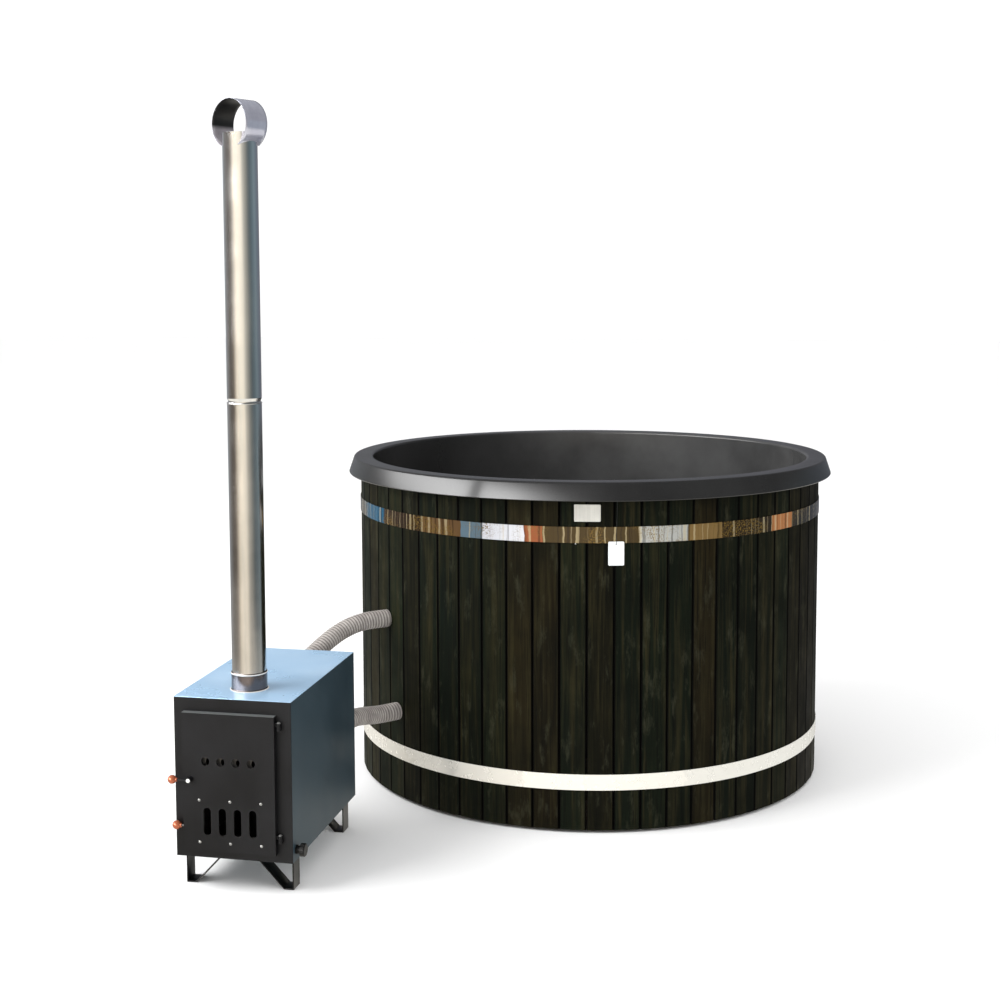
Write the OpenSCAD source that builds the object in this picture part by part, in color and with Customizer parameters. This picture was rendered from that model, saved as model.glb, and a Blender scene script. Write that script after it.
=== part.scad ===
// Wooden hot tub with a moulded liner, an outside wood-fired heater and its chimney.
// Origin: floor level on the tub's own axis. The heater's door faces -Y.

/* [Tub wall] */
// Thickness of a stave
stave_t = 28; // [20:1:36]
// Number of staves
stave_count = 60; // [54:1:66]
// Gap between neighbouring staves
stave_gap = 0.6; // [0.4:0.1:1.5]
// Bevel along the outer edges of a stave
stave_bevel = 3; // [1:0.5:5]
// Turn of the first stave joint about the axis, in degrees
stave_phase = 2.2; // [0:0.05:5.5]
// Height of the staves' lower ends above the ground
stave_foot = 10; // [6:1:18]
// Height of the rim above the ground
tub_h = 1100; // [1000:5:1200]

/* [Base] */
// Height of the bearers
bearer_h = 95; // [80:1:120]
// Width of a bearer
bearer_w = 45; // [35:1:60]
// Distance between bearers
bearer_step = 280; // [240:5:290]
// Thickness of the floor deck
deck_t = 18; // [12:1:27]

/* [Hoops] */
// Width of a hoop band
hoop_w = 50; // [35:1:70]
// Thickness of a hoop band
hoop_t = 1.5; // [1:0.1:3]
// Distance from the rim's top down to the upper hoop's lower edge
hoop_drop = 189; // [150:1:240]
// Height of the lower hoop's lower edge
hoop_low_z = 137; // [120:1:220]
// Space between the two ears of a hoop
hoop_ear_gap = 24; // [16:1:40]
// Length of an ear, outwards
hoop_ear_l = 26; // [20:1:40]

/* [Liner] */
// Inner radius of the liner wall
liner_r = 762; // [690:1:840]
// Thickness of the liner
liner_t = 6; // [4:0.5:8]
// Space between the liner and the staves
liner_gap = 9; // [8:0.5:14]
// How far the rim's outer top corner stands out over the staves
rim_over = 25; // [20:1:35]
// How far the rim's outermost edge stands out over the staves
rim_lip = 41; // [36:1:60]
// Height of the rim's outer band
rim_band_h = 56; // [40:1:80]
// Height of the seat above the ground
seat_z = 540; // [460:5:600]
// Depth of the seat
seat_d = 360; // [280:5:420]
// Width of the bay without a seat, in degrees
bay_angle = 60; // [40:5:90]
// Direction of the middle of the bay, in degrees
bay_dir = -134; // [-136:1:-130]

/* [Water fittings] */
// Outer radius of a water pipe
pipe_r = 24; // [20:0.5:25]
// Wall of a water pipe
pipe_t = 3.5; // [2:0.5:5]
// Direction of the hot inlet on the wall, in degrees
inlet_dir = -136.8; // [-138:0.1:-135]
// Height of the hot inlet
inlet_z = 596; // [580:1:620]
// Direction of the cold outlet on the wall, in degrees
outlet_dir = -132.4; // [-134:0.1:-131]
// Height of the cold outlet
outlet_z = 296; // [280:1:320]
// Length of a hose end on its pipe
hose_grip = 52; // [40:1:56]
// Radius of a fitting's flange
flange_r = 40; // [34:1:46]
// Thickness of a fitting's flange
flange_t = 5; // [3:0.5:8]
// Sideways place of the floor drain
drain_x = 120; // [90:1:160]
// Height of the drain pipe's middle
drain_z = 50; // [44:1:58]
// Distance of the drain valve's stem from the stave wall
valve_out = 75; // [60:1:115]
// Length of the valve's lever
lever_l = 110; // [80:1:140]

/* [Heater] */
// Width of the heater
heater_w = 345; // [320:1:370]
// Depth of the heater
heater_d = 590; // [560:1:620]
// Height of the heater's casing
heater_h = 460; // [450:1:500]
// Height of the feet
foot_h = 92; // [80:1:110]
// How far the casing's left side stands to the left of the stave wall
heater_side = 154; // [140:1:170]
// How far the casing's front stands in front of the stave wall
heater_ahead = 635; // [620:1:650]
// Thickness of the casing sheet
sheet_t = 2; // [1:0.5:3]
// Thickness of the front frame
frame_t = 3; // [2:0.5:3]
// Air space between the casing and the water jacket
jacket_gap = 10; // [8:1:14]
// Thickness of the water jacket
jacket_t = 24; // [20:1:30]
// Skin of the water jacket
skin_t = 3; // [2:0.5:4]
// Height of the grate above the casing's bottom
grate_z = 158; // [150:1:170]
// Place of the hot port from the casing's left side
hot_port_x = 169; // [160:1:180]
// Height of the hot port above the casing's bottom
hot_port_z = 405; // [395:1:408]
// Place of the cold port from the casing's left side
cold_port_x = 293; // [285:1:300]
// Height of the cold port above the casing's bottom
cold_port_z = 222; // [210:1:235]
// Width of a foot strap
strap_w = 52; // [36:1:64]
// Thickness of a foot strap
strap_t = 4; // [3:0.5:6]

/* [Door] */
// Left edge of the door from the casing's left side
door_x = 31; // [28:1:34]
// Width of the door
door_w = 271; // [264:1:274]
// Lower edge of the door above the casing's bottom
door_z = 26; // [20:1:30]
// Height of the door
door_h = 395; // [390:1:400]
// Depth of the door tray
door_d = 18; // [17:0.5:22]
// Gap between the door tray and the front frame
door_gap = 1.5; // [1:0.1:2.5]
// Width of the frame that the door covers
door_lap = 9; // [8:0.5:10]
// Radius of an air hole
air_hole_r = 12; // [8:0.5:15]
// Width of an air slot
slot_w = 21.8; // [14:0.1:22]
// Height of an air slot
slot_h = 79; // [60:1:84]
// Distance between air slots and between air holes
slot_step = 44.8; // [44.5:0.1:46]
// Place of the first air slot from the door's left edge
slot_in = 70.5; // [66:0.5:74]
// Height of the slots' middle above the door's lower edge
slot_up = 85.5; // [80:0.5:92]
// Place of the first air hole from the door's left edge
hole_in = 68; // [64:0.5:72]
// Height of the air holes above the door's lower edge
hole_up = 257.5; // [245:0.5:270]
// Place of the latch's shaft from the door's left edge
latch_in = 23; // [21:0.5:26]
// Height of the latch above the door's lower edge
latch_up = 205; // [195:1:215]
// Height of the damper's rod above the door's lower edge
damper_up = 68; // [60:1:76]
// Height of the lower hinge above the door's lower edge
hinge_low = 50; // [40:1:70]
// Distance of the upper hinge below the door's upper edge
hinge_high = 25; // [20:1:60]
// Radius of the ball knobs
knob_r = 12.5; // [10:0.5:13]
// Distance of the hinge axis from the door's edge
hinge_off = 10; // [9.5:0.5:12]

/* [Chimney] */
// Place of the chimney from the casing's left side
flue_x = 180; // [165:1:195]
// Place of the chimney from the casing's front
flue_y = 120; // [100:1:150]
// Outer radius of the chimney pipe
flue_r = 48.5; // [40:0.5:50]
// Thickness of the chimney sheet
flue_t = 1; // [0.6:0.1:2]
// Height of the collar above the casing
collar_h = 52; // [40:1:70]
// Height of the joint between the two pipes
flue_joint_z = 1372; // [1200:1:1500]
// Height of the chimney pipe's upper end
flue_top_z = 2118; // [1900:1:2300]
// Outer radius of the rain cap
cap_r = 68.5; // [64:0.5:80]
// Length of the rain cap
cap_l = 80; // [70:1:90]
// Height of the cap's middle above the pipe's end
cap_lift = 24; // [18:1:34]
// Turn of the cap about the chimney, in degrees
cap_turn = -26; // [-90:1:90]
// Opening of the cap's underside, in degrees
cap_open = 60; // [50:1:80]

/* [Hoses] */
// Radius of a hose over its ribs
hose_r = 29.2; // [28.5:0.1:30]
// Depth of the grooves between the ribs
rib_depth = 1.6; // [1:0.1:2]
// Distance from rib to rib
rib_step = 8; // [7:0.5:12]

/* [Hidden] */
// Curved faces
$fn = 96;
// Clearance between pieces that rest against each other
seat = 0.3;
// Radial clearance of a shaft in its bore
run = 0.05;
// Radial clearance of a pin or rod that is held fast
grip = 0.1;
// Small overlap used for cuts
cut = 1;
// Sheet thickness of a hoop's ear
ear_t = 3;
deck_z = bearer_h + deck_t;
floor_z = deck_z + liner_t;
liner_out = liner_r + liner_t;
stave_in = liner_out + liner_gap;
wall_r = stave_in + stave_t;
stave_angle = 360 / stave_count;
rim_top_r = wall_r + rim_over;
rim_lip_r = wall_r + rim_lip;
hoop_high_z = tub_h - hoop_drop;
valve_y = wall_r + valve_out;
heater_x = -wall_r - heater_side;
heater_y = -wall_r - heater_ahead;
stave_top = tub_h - liner_t - seat;
band_r = wall_r / cos(stave_angle / 2) + seat;
seat_r = liner_r - seat_d;
rim_round = 8;
heater_top = foot_h + heater_h;
heater_back = heater_y + heater_d;
flue_cx = heater_x + flue_x;
flue_cy = heater_y + flue_y;
jacket_x0 = sheet_t + jacket_gap;
jacket_x1 = heater_w - jacket_x0;
jacket_y0 = frame_t + 5;
jacket_y1 = heater_d - sheet_t - 16;
jacket_z0 = foot_h + sheet_t;
jacket_z1 = heater_top - sheet_t - 12;
hose_sides = 8;
bore_r = (pipe_r + seat) / cos(180 / hose_sides);
// Hose ports on the heater's back: place, then turn and rise in degrees, then distance to the hose's end
hot_port = [heater_x + hot_port_x, foot_h + hot_port_z, 25, 25, 27];
cold_port = [heater_x + cold_port_x, foot_h + cold_port_z, 14, 0, 14];
// Straight length of a hose past the end of the pipe it is pushed on
hose_past = 7;

// ---- helpers ----

// Ring of rectangular section about Z
module ring(r_in, r_out, z, h) {
    translate([0, 0, z]) difference() {
        cylinder(r = r_out, h = h);
        translate([0, 0, -cut]) cylinder(r = r_in, h = h + 2 * cut);
    }
}

// Puts its children on the tub wall: their +Z runs outwards at this direction and height
module on_wall(dir, z) {
    rotate([0, 0, dir]) translate([0, 0, z]) rotate([0, 90, 0]) children();
}

// Puts its children in the heater's own frame: the casing's front left corner on the ground
module in_heater() {
    translate([heater_x, heater_y, 0]) children();
}

// Puts its children on a port of the heater's back: their +Z runs out of the port
module on_port(p) {
    translate([p[0], heater_back, p[1]]) rotate([0, 0, -p[2]]) rotate([p[3] - 90, 0, 0]) children();
}

// Bar with round ends, upright in XZ, drawn through its thickness along Y
module upright_slot(x, z, w, h, y, t) {
    translate([x, y, z]) rotate([-90, 0, 0]) linear_extrude(t) {
        translate([0, h / 2 - w / 2]) circle(d = w, $fn = 48);
        translate([0, w / 2 - h / 2]) circle(d = w, $fn = 48);
        square([w, h - w], center = true);
    }
}

// Point of a cubic curve through four control points
function curve_at(p, t) = pow(1 - t, 3) * p[0] + 3 * pow(1 - t, 2) * t * p[1]
    + 3 * (1 - t) * t * t * p[2] + t * t * t * p[3];

// Points a fixed share apart along a hose: a straight run, the bend, a straight run
function hose_line(p, n) = let(
    bend = [for (i = [1 : 4]) p[i]],
    a = norm(p[1] - p[0]), b = norm(p[5] - p[4]), c = bend_length(bend), full = a + b + c)
    [for (i = [0 : n]) let(s = full * i / n)
        s <= a ? p[0] + (p[1] - p[0]) * s / a :
        s >= a + c ? p[4] + (p[5] - p[4]) * (s - a - c) / b :
        curve_at(bend, (s - a) / c)];
function bend_length(p, n = 40) = add_up([for (i = [1 : n])
    norm(curve_at(p, i / n) - curve_at(p, (i - 1) / n))]);
function add_up(v, i = 0) = i < len(v) ? v[i] + add_up(v, i + 1) : 0;
function unit(v) = v / norm(v);

// Corner points of one ring of the hose, square to its line
function hose_ring(line, i, r) = let(
    n = len(line) - 1,
    t = unit(line[min(i + 1, n)] - line[max(i - 1, 0)]),
    s = unit(cross(t, [0, 0, 1])), u = cross(s, t))
    [for (k = [0 : hose_sides - 1]) let(a = 360 * (k + 0.5) / hose_sides)
        line[i] + r * (cos(a) * s + sin(a) * u)];

// Route of a hose from a port to a pipe in the tub's wall: straight end, two points that draw the bend, straight end
function port_line(p) = [sin(p[2]) * cos(p[3]), cos(p[2]) * cos(p[3]), sin(p[3])];
function hose_route(p, dir, z) = let(
    a = port_line(p), b = [cos(dir), sin(dir), 0], low = [p[0], heater_back, p[1]], high = [0, 0, z],
    p1 = low + (p[4] + hose_grip + hose_past) * a, p4 = high + (wall_r + hose_grip + hose_past) * b,
    h = norm(p4 - p1) * 0.35)
    [low + p[4] * a, p1, p1 + h * a, p4 + h * b, p4, high + band_r * b];

// Hose with ribs outside and a plain bore, as one closed skin
module ribbed_hose(route) {
    rough = norm(route[5] - route[0]);
    ribs = floor(rough / rib_step);
    n = 2 * ribs;
    line = hose_line(route, n);
    m = hose_sides;
    inner_rings = [for (i = [0 : 4 : n]) i];
    last = inner_rings[len(inner_rings) - 1];
    inner = last == n ? inner_rings : concat(inner_rings, [n]);
    outer_pts = [for (i = [0 : n]) for (q = hose_ring(line, i, hose_r - (i % 2) * rib_depth)) q];
    inner_pts = [for (i = inner) for (q = hose_ring(line, i, bore_r)) q];
    base = len(outer_pts);
    k_in = len(inner) - 1;
    outer_faces = [for (i = [0 : n - 1]) for (k = [0 : m - 1]) let(
        a = i * m + k, b = i * m + (k + 1) % m)
        each [[a, b, b + m], [a, b + m, a + m]]];
    inner_faces = [for (i = [0 : k_in - 1]) for (k = [0 : m - 1]) let(
        a = base + i * m + k, b = base + i * m + (k + 1) % m)
        each [[a, b + m, b], [a, a + m, b + m]]];
    near_faces = [for (k = [0 : m - 1]) let(k2 = (k + 1) % m)
        each [[k, base + k2, k2], [k, base + k, base + k2]]];
    far_faces = [for (k = [0 : m - 1]) let(k2 = (k + 1) % m, o = n * m, i = base + k_in * m)
        each [[o + k, o + k2, i + k2], [o + k, i + k2, i + k]]];
    polyhedron(concat(outer_pts, inner_pts), concat(outer_faces, inner_faces, near_faces, far_faces));
}

// ---- tub ----

// Beams that carry the tub on the ground
module bearers() {
    color("#6b5a44") for (i = [-2 : 2]) {
        x = i * bearer_step;
        half = sqrt(pow(stave_in - 12, 2) - pow(abs(x) + bearer_w / 2, 2));
        translate([x - bearer_w / 2, -half, 0]) cube([bearer_w, 2 * half, bearer_h]);
    }
}

// Round deck under the liner
module floor_deck() {
    color("#8a7352") difference() {
        translate([0, 0, bearer_h]) cylinder(r = stave_in - seat, h = deck_t, $fn = 180);
        translate([drain_x, 0, bearer_h - cut]) cylinder(r = pipe_r + 2, h = deck_t + 2 * cut);
    }
}

// Section of one stave, pointing outwards along X
module stave_section() {
    half = function (r) r * tan(stave_angle / 2) - stave_gap / 2;
    shoulder = wall_r - stave_bevel;
    polygon([[stave_in, -half(stave_in)], [shoulder, -half(shoulder)],
             [wall_r, -half(wall_r) + stave_bevel], [wall_r, half(wall_r) - stave_bevel],
             [shoulder, half(shoulder)], [stave_in, half(stave_in)]]);
}

// Ring of separate staves, drilled for the pipes
module staves() {
    color("#26261e") difference() {
        for (i = [0 : stave_count - 1])
            rotate([0, 0, stave_phase + stave_angle * (i + 0.5)])
                translate([0, 0, stave_foot]) linear_extrude(stave_top - stave_foot) stave_section();
        on_wall(inlet_dir, inlet_z) translate([0, 0, stave_in - 20]) cylinder(r = pipe_r + 4, h = stave_t + 40);
        on_wall(outlet_dir, outlet_z) translate([0, 0, stave_in - 20]) cylinder(r = pipe_r + 4, h = stave_t + 40);
        translate([drain_x, stave_in - 60, drain_z]) rotate([-90, 0, 0])
            cylinder(r = pipe_r + 3, h = stave_t + 120);
    }
}

// Steel band round the staves, with a drilled ear at each end behind the tub
bolt_r = 4;
bolt_y = band_r + hoop_ear_l * 0.6;
module hoop() {
    half = hoop_ear_gap / 2;
    difference() {
        union() {
            difference() {
                cylinder(r = band_r + hoop_t, h = hoop_w, $fn = 180);
                translate([0, 0, -cut]) cylinder(r = band_r, h = hoop_w + 2 * cut, $fn = 180);
            }
            translate([-half - ear_t, band_r - 0.2, 0]) cube([2 * (half + ear_t), hoop_ear_l, hoop_w]);
        }
        translate([-half, band_r - 20, -cut]) cube([2 * half, hoop_ear_l + 40, hoop_w + 2 * cut]);
        translate([-2 * half, bolt_y, hoop_w / 2]) rotate([0, 90, 0]) cylinder(r = bolt_r + run, h = 4 * half);
    }
}
module upper_hoop() { color("silver") translate([0, 0, hoop_high_z]) hoop(); }
module lower_hoop() { color("silver") translate([0, 0, hoop_low_z]) hoop(); }

// Bolt and nut that draw the ears of a hoop together
module hoop_bolts() {
    reach = hoop_ear_gap / 2 + ear_t;
    color("gray") for (z = [hoop_high_z, hoop_low_z])
        translate([0, bolt_y, z + hoop_w / 2]) rotate([0, 90, 0]) {
            translate([0, 0, -reach]) cylinder(r = bolt_r, h = 2 * reach + 10);
            translate([0, 0, -reach - 5.5]) cylinder(r = 7.5, h = 5.5, $fn = 6);
            translate([0, 0, reach]) cylinder(r = 7.5, h = 6.5, $fn = 6);
        }
}

// Arc of points about a centre
function arc(cx, cz, r, a0, a1, n = 6) = [for (i = [0 : n]) let(a = a0 + (a1 - a0) * i / n)
    [cx + r * cos(a), cz + r * sin(a)]];

// Levels where one zone of the moulded liner meets the next
seat_round = 20;
wall_foot = 2;
rim_low = tub_h - rim_band_h;
zone_well = seat_z - seat_round;
zone_seat = seat_z + seat_round - wall_foot;
zone_rim = tub_h - liner_t;
rim_turn = asin((rim_round - liner_t) / rim_round);
wall_turn = acos(wall_foot / seat_round);

// Flat top of the rim with its two round edges
module liner_rim() {
    color("#2a2b2d") rotate_extrude($fn = 180) polygon(concat(
        arc(liner_r + rim_round, tub_h - rim_round, rim_round, 180 - rim_turn, 90),
        arc(rim_top_r - rim_round, tub_h - rim_round, rim_round, 90, rim_turn)));
}

// Skirt that hangs from the rim outside the staves
module liner_skirt() {
    color("#2a2b2d") rotate_extrude($fn = 180) polygon([
        [rim_top_r - rim_round + rim_round * cos(rim_turn), zone_rim], [rim_lip_r - 0.8, rim_low + 5],
        [rim_lip_r, rim_low + 2], [rim_lip_r - 1.5, rim_low], [rim_lip_r - liner_t, rim_low],
        [rim_top_r - liner_t, zone_rim - 4], [rim_top_r - liner_t - 4, zone_rim]]);
}

// Wall above the seat
module liner_wall() {
    color("#2a2b2d") difference() {
        ring(liner_r, liner_out, zone_seat, zone_rim - zone_seat, $fn = 180);
        on_wall(inlet_dir, inlet_z) translate([0, 0, liner_r - 20]) cylinder(r = pipe_r + run, h = 40);
    }
}

// Plan of the bay beside the ports, its two sides moved inwards by a distance
module bay_wedge(in) {
    long = 2 * liner_out;
    rotate(bay_dir) translate([in / sin(bay_angle / 2), 0]) polygon([[0, 0],
        [long * cos(bay_angle / 2), -long * sin(bay_angle / 2)],
        [long * cos(bay_angle / 2), long * sin(bay_angle / 2)]]);
}

// Plan of the round foot well with the bay that opens into it
module well_plan(r_well, r_bay, in) {
    circle(r = r_well, $fn = 180);
    intersection() {
        circle(r = r_bay, $fn = 180);
        bay_wedge(in);
    }
}

// Seat with its round front edge and the hollow where it meets the wall, cut away over the bay
module liner_seat() {
    color("#2a2b2d") difference() {
        rotate_extrude($fn = 180) polygon(concat(
            [[liner_out, zone_seat], [liner_out, seat_z - liner_t], [seat_r + seat_round, seat_z - liner_t],
                [seat_r + seat_round, zone_well]],
            arc(seat_r + seat_round, zone_well, seat_round, 180, 90),
            arc(liner_r - seat_round, seat_z + seat_round, seat_round, 270, 270 + wall_turn)));
        translate([0, 0, zone_well - 10]) linear_extrude(2 * seat_round + 20) intersection() {
            circle(r = liner_r, $fn = 180);
            bay_wedge(liner_t / 2);
        }
    }
}

// Walls of the foot well and of the bay, under the seat
module liner_well() {
    color("#2a2b2d") difference() {
        translate([0, 0, floor_z]) linear_extrude(seat_z - liner_t - floor_z) difference() {
            well_plan(seat_r + liner_t, liner_out, -liner_t / 2);
            well_plan(seat_r, liner_r, liner_t / 2);
        }
        translate([0, 0, zone_well]) cylinder(r = seat_r + seat_round, h = seat_round, $fn = 180);
        on_wall(outlet_dir, outlet_z) translate([0, 0, liner_r - 20]) cylinder(r = pipe_r + run, h = 40);
    }
}

// Floor of the foot well and of the bay
module liner_floor() {
    color("#2a2b2d") difference() {
        translate([0, 0, deck_z]) linear_extrude(liner_t) well_plan(seat_r + liner_t, liner_out, -liner_t / 2);
        translate([drain_x, 0, deck_z - cut]) cylinder(r = pipe_r + run, h = liner_t + 2 * cut);
    }
}

// Place of a flat flange against the curved liner wall
flange_at = sqrt(liner_r * liner_r - flange_r * flange_r) - seat - flange_t;

// Pipe through the wall, with a flange inside the tub and a free end for a hose
module wall_fitting(dir, z) {
    on_wall(dir, z) translate([0, 0, flange_at]) difference() {
        union() {
            cylinder(r = flange_r, h = flange_t);
            cylinder(r = pipe_r, h = wall_r + hose_grip - flange_at);
        }
        translate([0, 0, -cut]) cylinder(r = pipe_r - pipe_t, h = wall_r + hose_grip - flange_at + 2 * cut);
    }
}
module hot_inlet() { color("lightgray") wall_fitting(inlet_dir, inlet_z); }
module cold_outlet() { color("lightgray") wall_fitting(outlet_dir, outlet_z); }

// Hexagon nuts that hold the fittings against the liner's back
nut_t = 6;
nut_over = 10;
module fitting_nuts() {
    color("gray") for (p = [[inlet_dir, inlet_z], [outlet_dir, outlet_z]])
        on_wall(p[0], p[1]) translate([0, 0, liner_out + seat]) difference() {
            cylinder(r = pipe_r + nut_over, h = nut_t, $fn = 6);
            translate([0, 0, -cut]) cylinder(r = pipe_r + run, h = nut_t + 2 * cut);
        }
}

// Domed screens over the fittings inside the tub, with a ring of water holes
screen_h = 14;
module port_screens() {
    color("#3a3a3c") for (p = [[inlet_dir, inlet_z], [outlet_dir, outlet_z]])
        on_wall(p[0], p[1]) translate([0, 0, flange_at - screen_h]) difference() {
            union() {
                cylinder(r1 = flange_r - 12, r2 = flange_r - 4, h = 4);
                translate([0, 0, 4]) cylinder(r = flange_r - 4, h = screen_h - 4);
            }
            translate([0, 0, 3]) cylinder(r = flange_r - 8, h = screen_h);
            for (i = [0 : 7]) rotate([0, 0, 45 * i]) translate([16, 0, -cut]) cylinder(r = 4, h = 6, $fn = 32);
            for (i = [0 : 11]) rotate([0, 0, 30 * i]) translate([flange_r - 12, 0, 9]) rotate([0, 90, 0])
                cylinder(r = 2.5, h = 12, $fn = 32);
        }
}

// Drain flange in the tub's floor, with a slotted strainer and a pipe end below
module floor_drain() {
    color("silver") translate([drain_x, 0, floor_z]) difference() {
        union() {
            cylinder(r1 = flange_r, r2 = flange_r - 3, h = 4);
            translate([0, 0, -34]) cylinder(r = pipe_r, h = 35);
        }
        translate([0, 0, -34 - cut]) cylinder(r = pipe_r - pipe_t, h = 34 + cut);
        for (i = [0 : 7]) rotate([0, 0, 45 * i]) translate([6, -2, -cut]) cube([14, 4, 6]);
    }
}

// Drain pipe under the deck: an elbow below the drain, then straight out through the staves
valve_half = 32;
module drain_pipe() {
    socket_r = pipe_r + 3;
    top = floor_z - 12;
    color("#d8d8d4") difference() {
        union() {
            translate([drain_x, 0, drain_z]) sphere(r = socket_r);
            translate([drain_x, 0, drain_z]) cylinder(r = socket_r, h = bearer_h - 4 - drain_z);
            translate([drain_x, 0, drain_z]) rotate([-90, 0, 0]) cylinder(r = pipe_r, h = valve_y - valve_half);
            translate([drain_x, 0, drain_z]) rotate([-90, 0, 0]) cylinder(r = socket_r, h = 60);
        }
        translate([drain_x, 0, drain_z]) rotate([-90, 0, 0]) cylinder(r = pipe_r - pipe_t, h = valve_y);
        translate([drain_x, 0, drain_z]) sphere(r = pipe_r - pipe_t);
        translate([drain_x, 0, drain_z]) cylinder(r = pipe_r - pipe_t, h = bearer_h);
        translate([drain_x, 0, floor_z - 34 - seat]) cylinder(r = pipe_r + run, h = bearer_h);
    }
}

// Ball valve body with a hexagon at each end and an outlet pipe
stem_top = drain_z + 46;
module valve_body() {
    color("#c8a860") difference() {
        translate([drain_x, valve_y, drain_z]) union() {
            rotate([-90, 0, 0]) translate([0, 0, -valve_half]) cylinder(r = 32, h = 18, $fn = 6);
            rotate([-90, 0, 0]) translate([0, 0, valve_half - 18]) cylinder(r = 32, h = 18, $fn = 6);
            sphere(r = 31);
            rotate([-90, 0, 0]) translate([0, 0, valve_half]) cylinder(r = pipe_r, h = 40);
            cylinder(r = 11, h = 40);
        }
        translate([drain_x, valve_y - 100, drain_z]) rotate([-90, 0, 0]) cylinder(r = pipe_r - pipe_t, h = 200);
        translate([drain_x, valve_y, drain_z + 26]) cylinder(r = 6 + run, h = 40);
    }
}

// Quarter-turn lever on the valve's stem, across the pipe when shut
module valve_lever() {
    color("#b02020") translate([drain_x, valve_y, 0]) {
        translate([0, 0, drain_z + 27]) cylinder(r = 6, h = stem_top - drain_z - 27);
        translate([0, 0, drain_z + 40 + seat]) cylinder(r = 12, h = 5);
        translate([0, 0, drain_z + 40 + seat]) linear_extrude(4) {
            circle(r = 14);
            translate([0, -9]) square([lever_l - 9, 18]);
            translate([lever_l - 9, 0]) circle(r = 9);
        }
    }
}

// ---- heater ----

// Holes in the heater's back for the two water pipes
module port_cuts(extra) {
    for (p = [hot_port, cold_port]) on_port(p) translate([0, 0, -60]) cylinder(r = pipe_r + extra, h = 80);
}

// Room that the port pipes may fill: from the jacket's outer skin backwards
module port_zone() {
    in_heater() translate([-100, jacket_y1 - skin_t - 1, 0]) cube([heater_w + 200, 200, heater_top + 100]);
}

// Side, back and bottom sheets of the casing
module casing() {
    color("#3c4e55") difference() {
        in_heater() translate([0, frame_t, foot_h]) difference() {
            cube([heater_w, heater_d - frame_t, heater_h - sheet_t]);
            translate([sheet_t, -cut, sheet_t])
                cube([heater_w - 2 * sheet_t, heater_d - frame_t - sheet_t + cut, heater_h]);
        }
        port_cuts(2);
        drain_hole(0.5);
    }
}

// Top sheet with the chimney's hole
module top_plate() {
    color("#b4d0e8") difference() {
        in_heater() translate([0, 0, heater_top - sheet_t]) cube([heater_w, heater_d, sheet_t]);
        translate([flue_cx, flue_cy, heater_top - sheet_t - cut]) cylinder(r = flue_r + flue_t + 2 * seat + 1.5, h = 10);
    }
}

// Front frame with the firing opening
opening_x0 = door_x + door_lap;
opening_x1 = door_x + door_w - door_lap;
opening_z0 = foot_h + door_z + door_lap;
opening_z1 = foot_h + door_z + door_h - door_lap;
module front_frame() {
    color("#2d2d2f") in_heater() difference() {
        translate([0, 0, foot_h]) cube([heater_w, frame_t, heater_h - sheet_t]);
        translate([opening_x0, -cut, opening_z0])
            cube([opening_x1 - opening_x0, frame_t + 2 * cut, opening_z1 - opening_z0]);
    }
}

// Double-walled firebox: water stands in its sides, back and top
fire_x0 = jacket_x0 + jacket_t;
fire_x1 = jacket_x1 - jacket_t;
fire_y1 = jacket_y1 - jacket_t;
fire_z0 = jacket_z0 + skin_t;
fire_z1 = jacket_z1 - jacket_t;
module jacket_body() {
    difference() {
        in_heater() difference() {
            translate([jacket_x0, jacket_y0, jacket_z0])
                cube([jacket_x1 - jacket_x0, jacket_y1 - jacket_y0, jacket_z1 - jacket_z0]);
            difference() {
                translate([jacket_x0 + skin_t, jacket_y0 + skin_t, fire_z0])
                    cube([jacket_x1 - jacket_x0 - 2 * skin_t, jacket_y1 - jacket_y0 - 2 * skin_t,
                          jacket_z1 - skin_t - fire_z0]);
                translate([fire_x0 - skin_t, jacket_y0, jacket_z0])
                    cube([fire_x1 - fire_x0 + 2 * skin_t, fire_y1 - jacket_y0 + skin_t,
                          fire_z1 - jacket_z0 + skin_t]);
                translate([flue_x, flue_y, fire_z1]) cylinder(r = flue_r + skin_t, h = jacket_t);
            }
            translate([fire_x0, jacket_y0 - cut, fire_z0])
                cube([fire_x1 - fire_x0, fire_y1 - jacket_y0 + cut, fire_z1 - fire_z0]);
            translate([flue_x, flue_y, fire_z1 - cut]) cylinder(r = flue_r - flue_t, h = jacket_t + 2 * cut);
        }
        intersection() {
            port_cuts(run);
            port_zone();
        }
        drain_hole(run);
    }
}

// Zone of the firebox between two places on each axis of the heater
module jacket_zone(x0, x1, y0, y1, z0, z1) {
    color("#8f9294") intersection() {
        jacket_body();
        in_heater() translate([x0, y0, z0]) cube([x1 - x0, y1 - y0, z1 - z0]);
    }
}
module jacket_sides() {
    jacket_zone(jacket_x0 - 1, fire_x0, jacket_y0 - 1, jacket_y1 + 1, jacket_z0 - 1, jacket_z1 + 1);
    jacket_zone(fire_x1, jacket_x1 + 1, jacket_y0 - 1, jacket_y1 + 1, jacket_z0 - 1, jacket_z1 + 1);
}
module jacket_back() {
    jacket_zone(fire_x0, fire_x1, fire_y1, jacket_y1 + 1, jacket_z0 - 1, jacket_z1 + 1);
}
module jacket_roof() {
    jacket_zone(fire_x0, fire_x1, jacket_y0 - 1, fire_y1, fire_z1, jacket_z1 + 1);
}
module ash_floor() {
    jacket_zone(fire_x0, fire_x1, jacket_y0 - 1, fire_y1, jacket_z0 - 1, fire_z0);
}

// Bars along the firebox's sides that carry the grate
ledge = 12;
ledge_t = 6;
module grate_ledges() {
    color("#8f9294") in_heater() for (x = [fire_x0, fire_x1 - ledge])
        translate([x, jacket_y0, foot_h + grate_z - ledge_t]) cube([ledge, fire_y1 - jacket_y0, ledge_t]);
}

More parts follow.
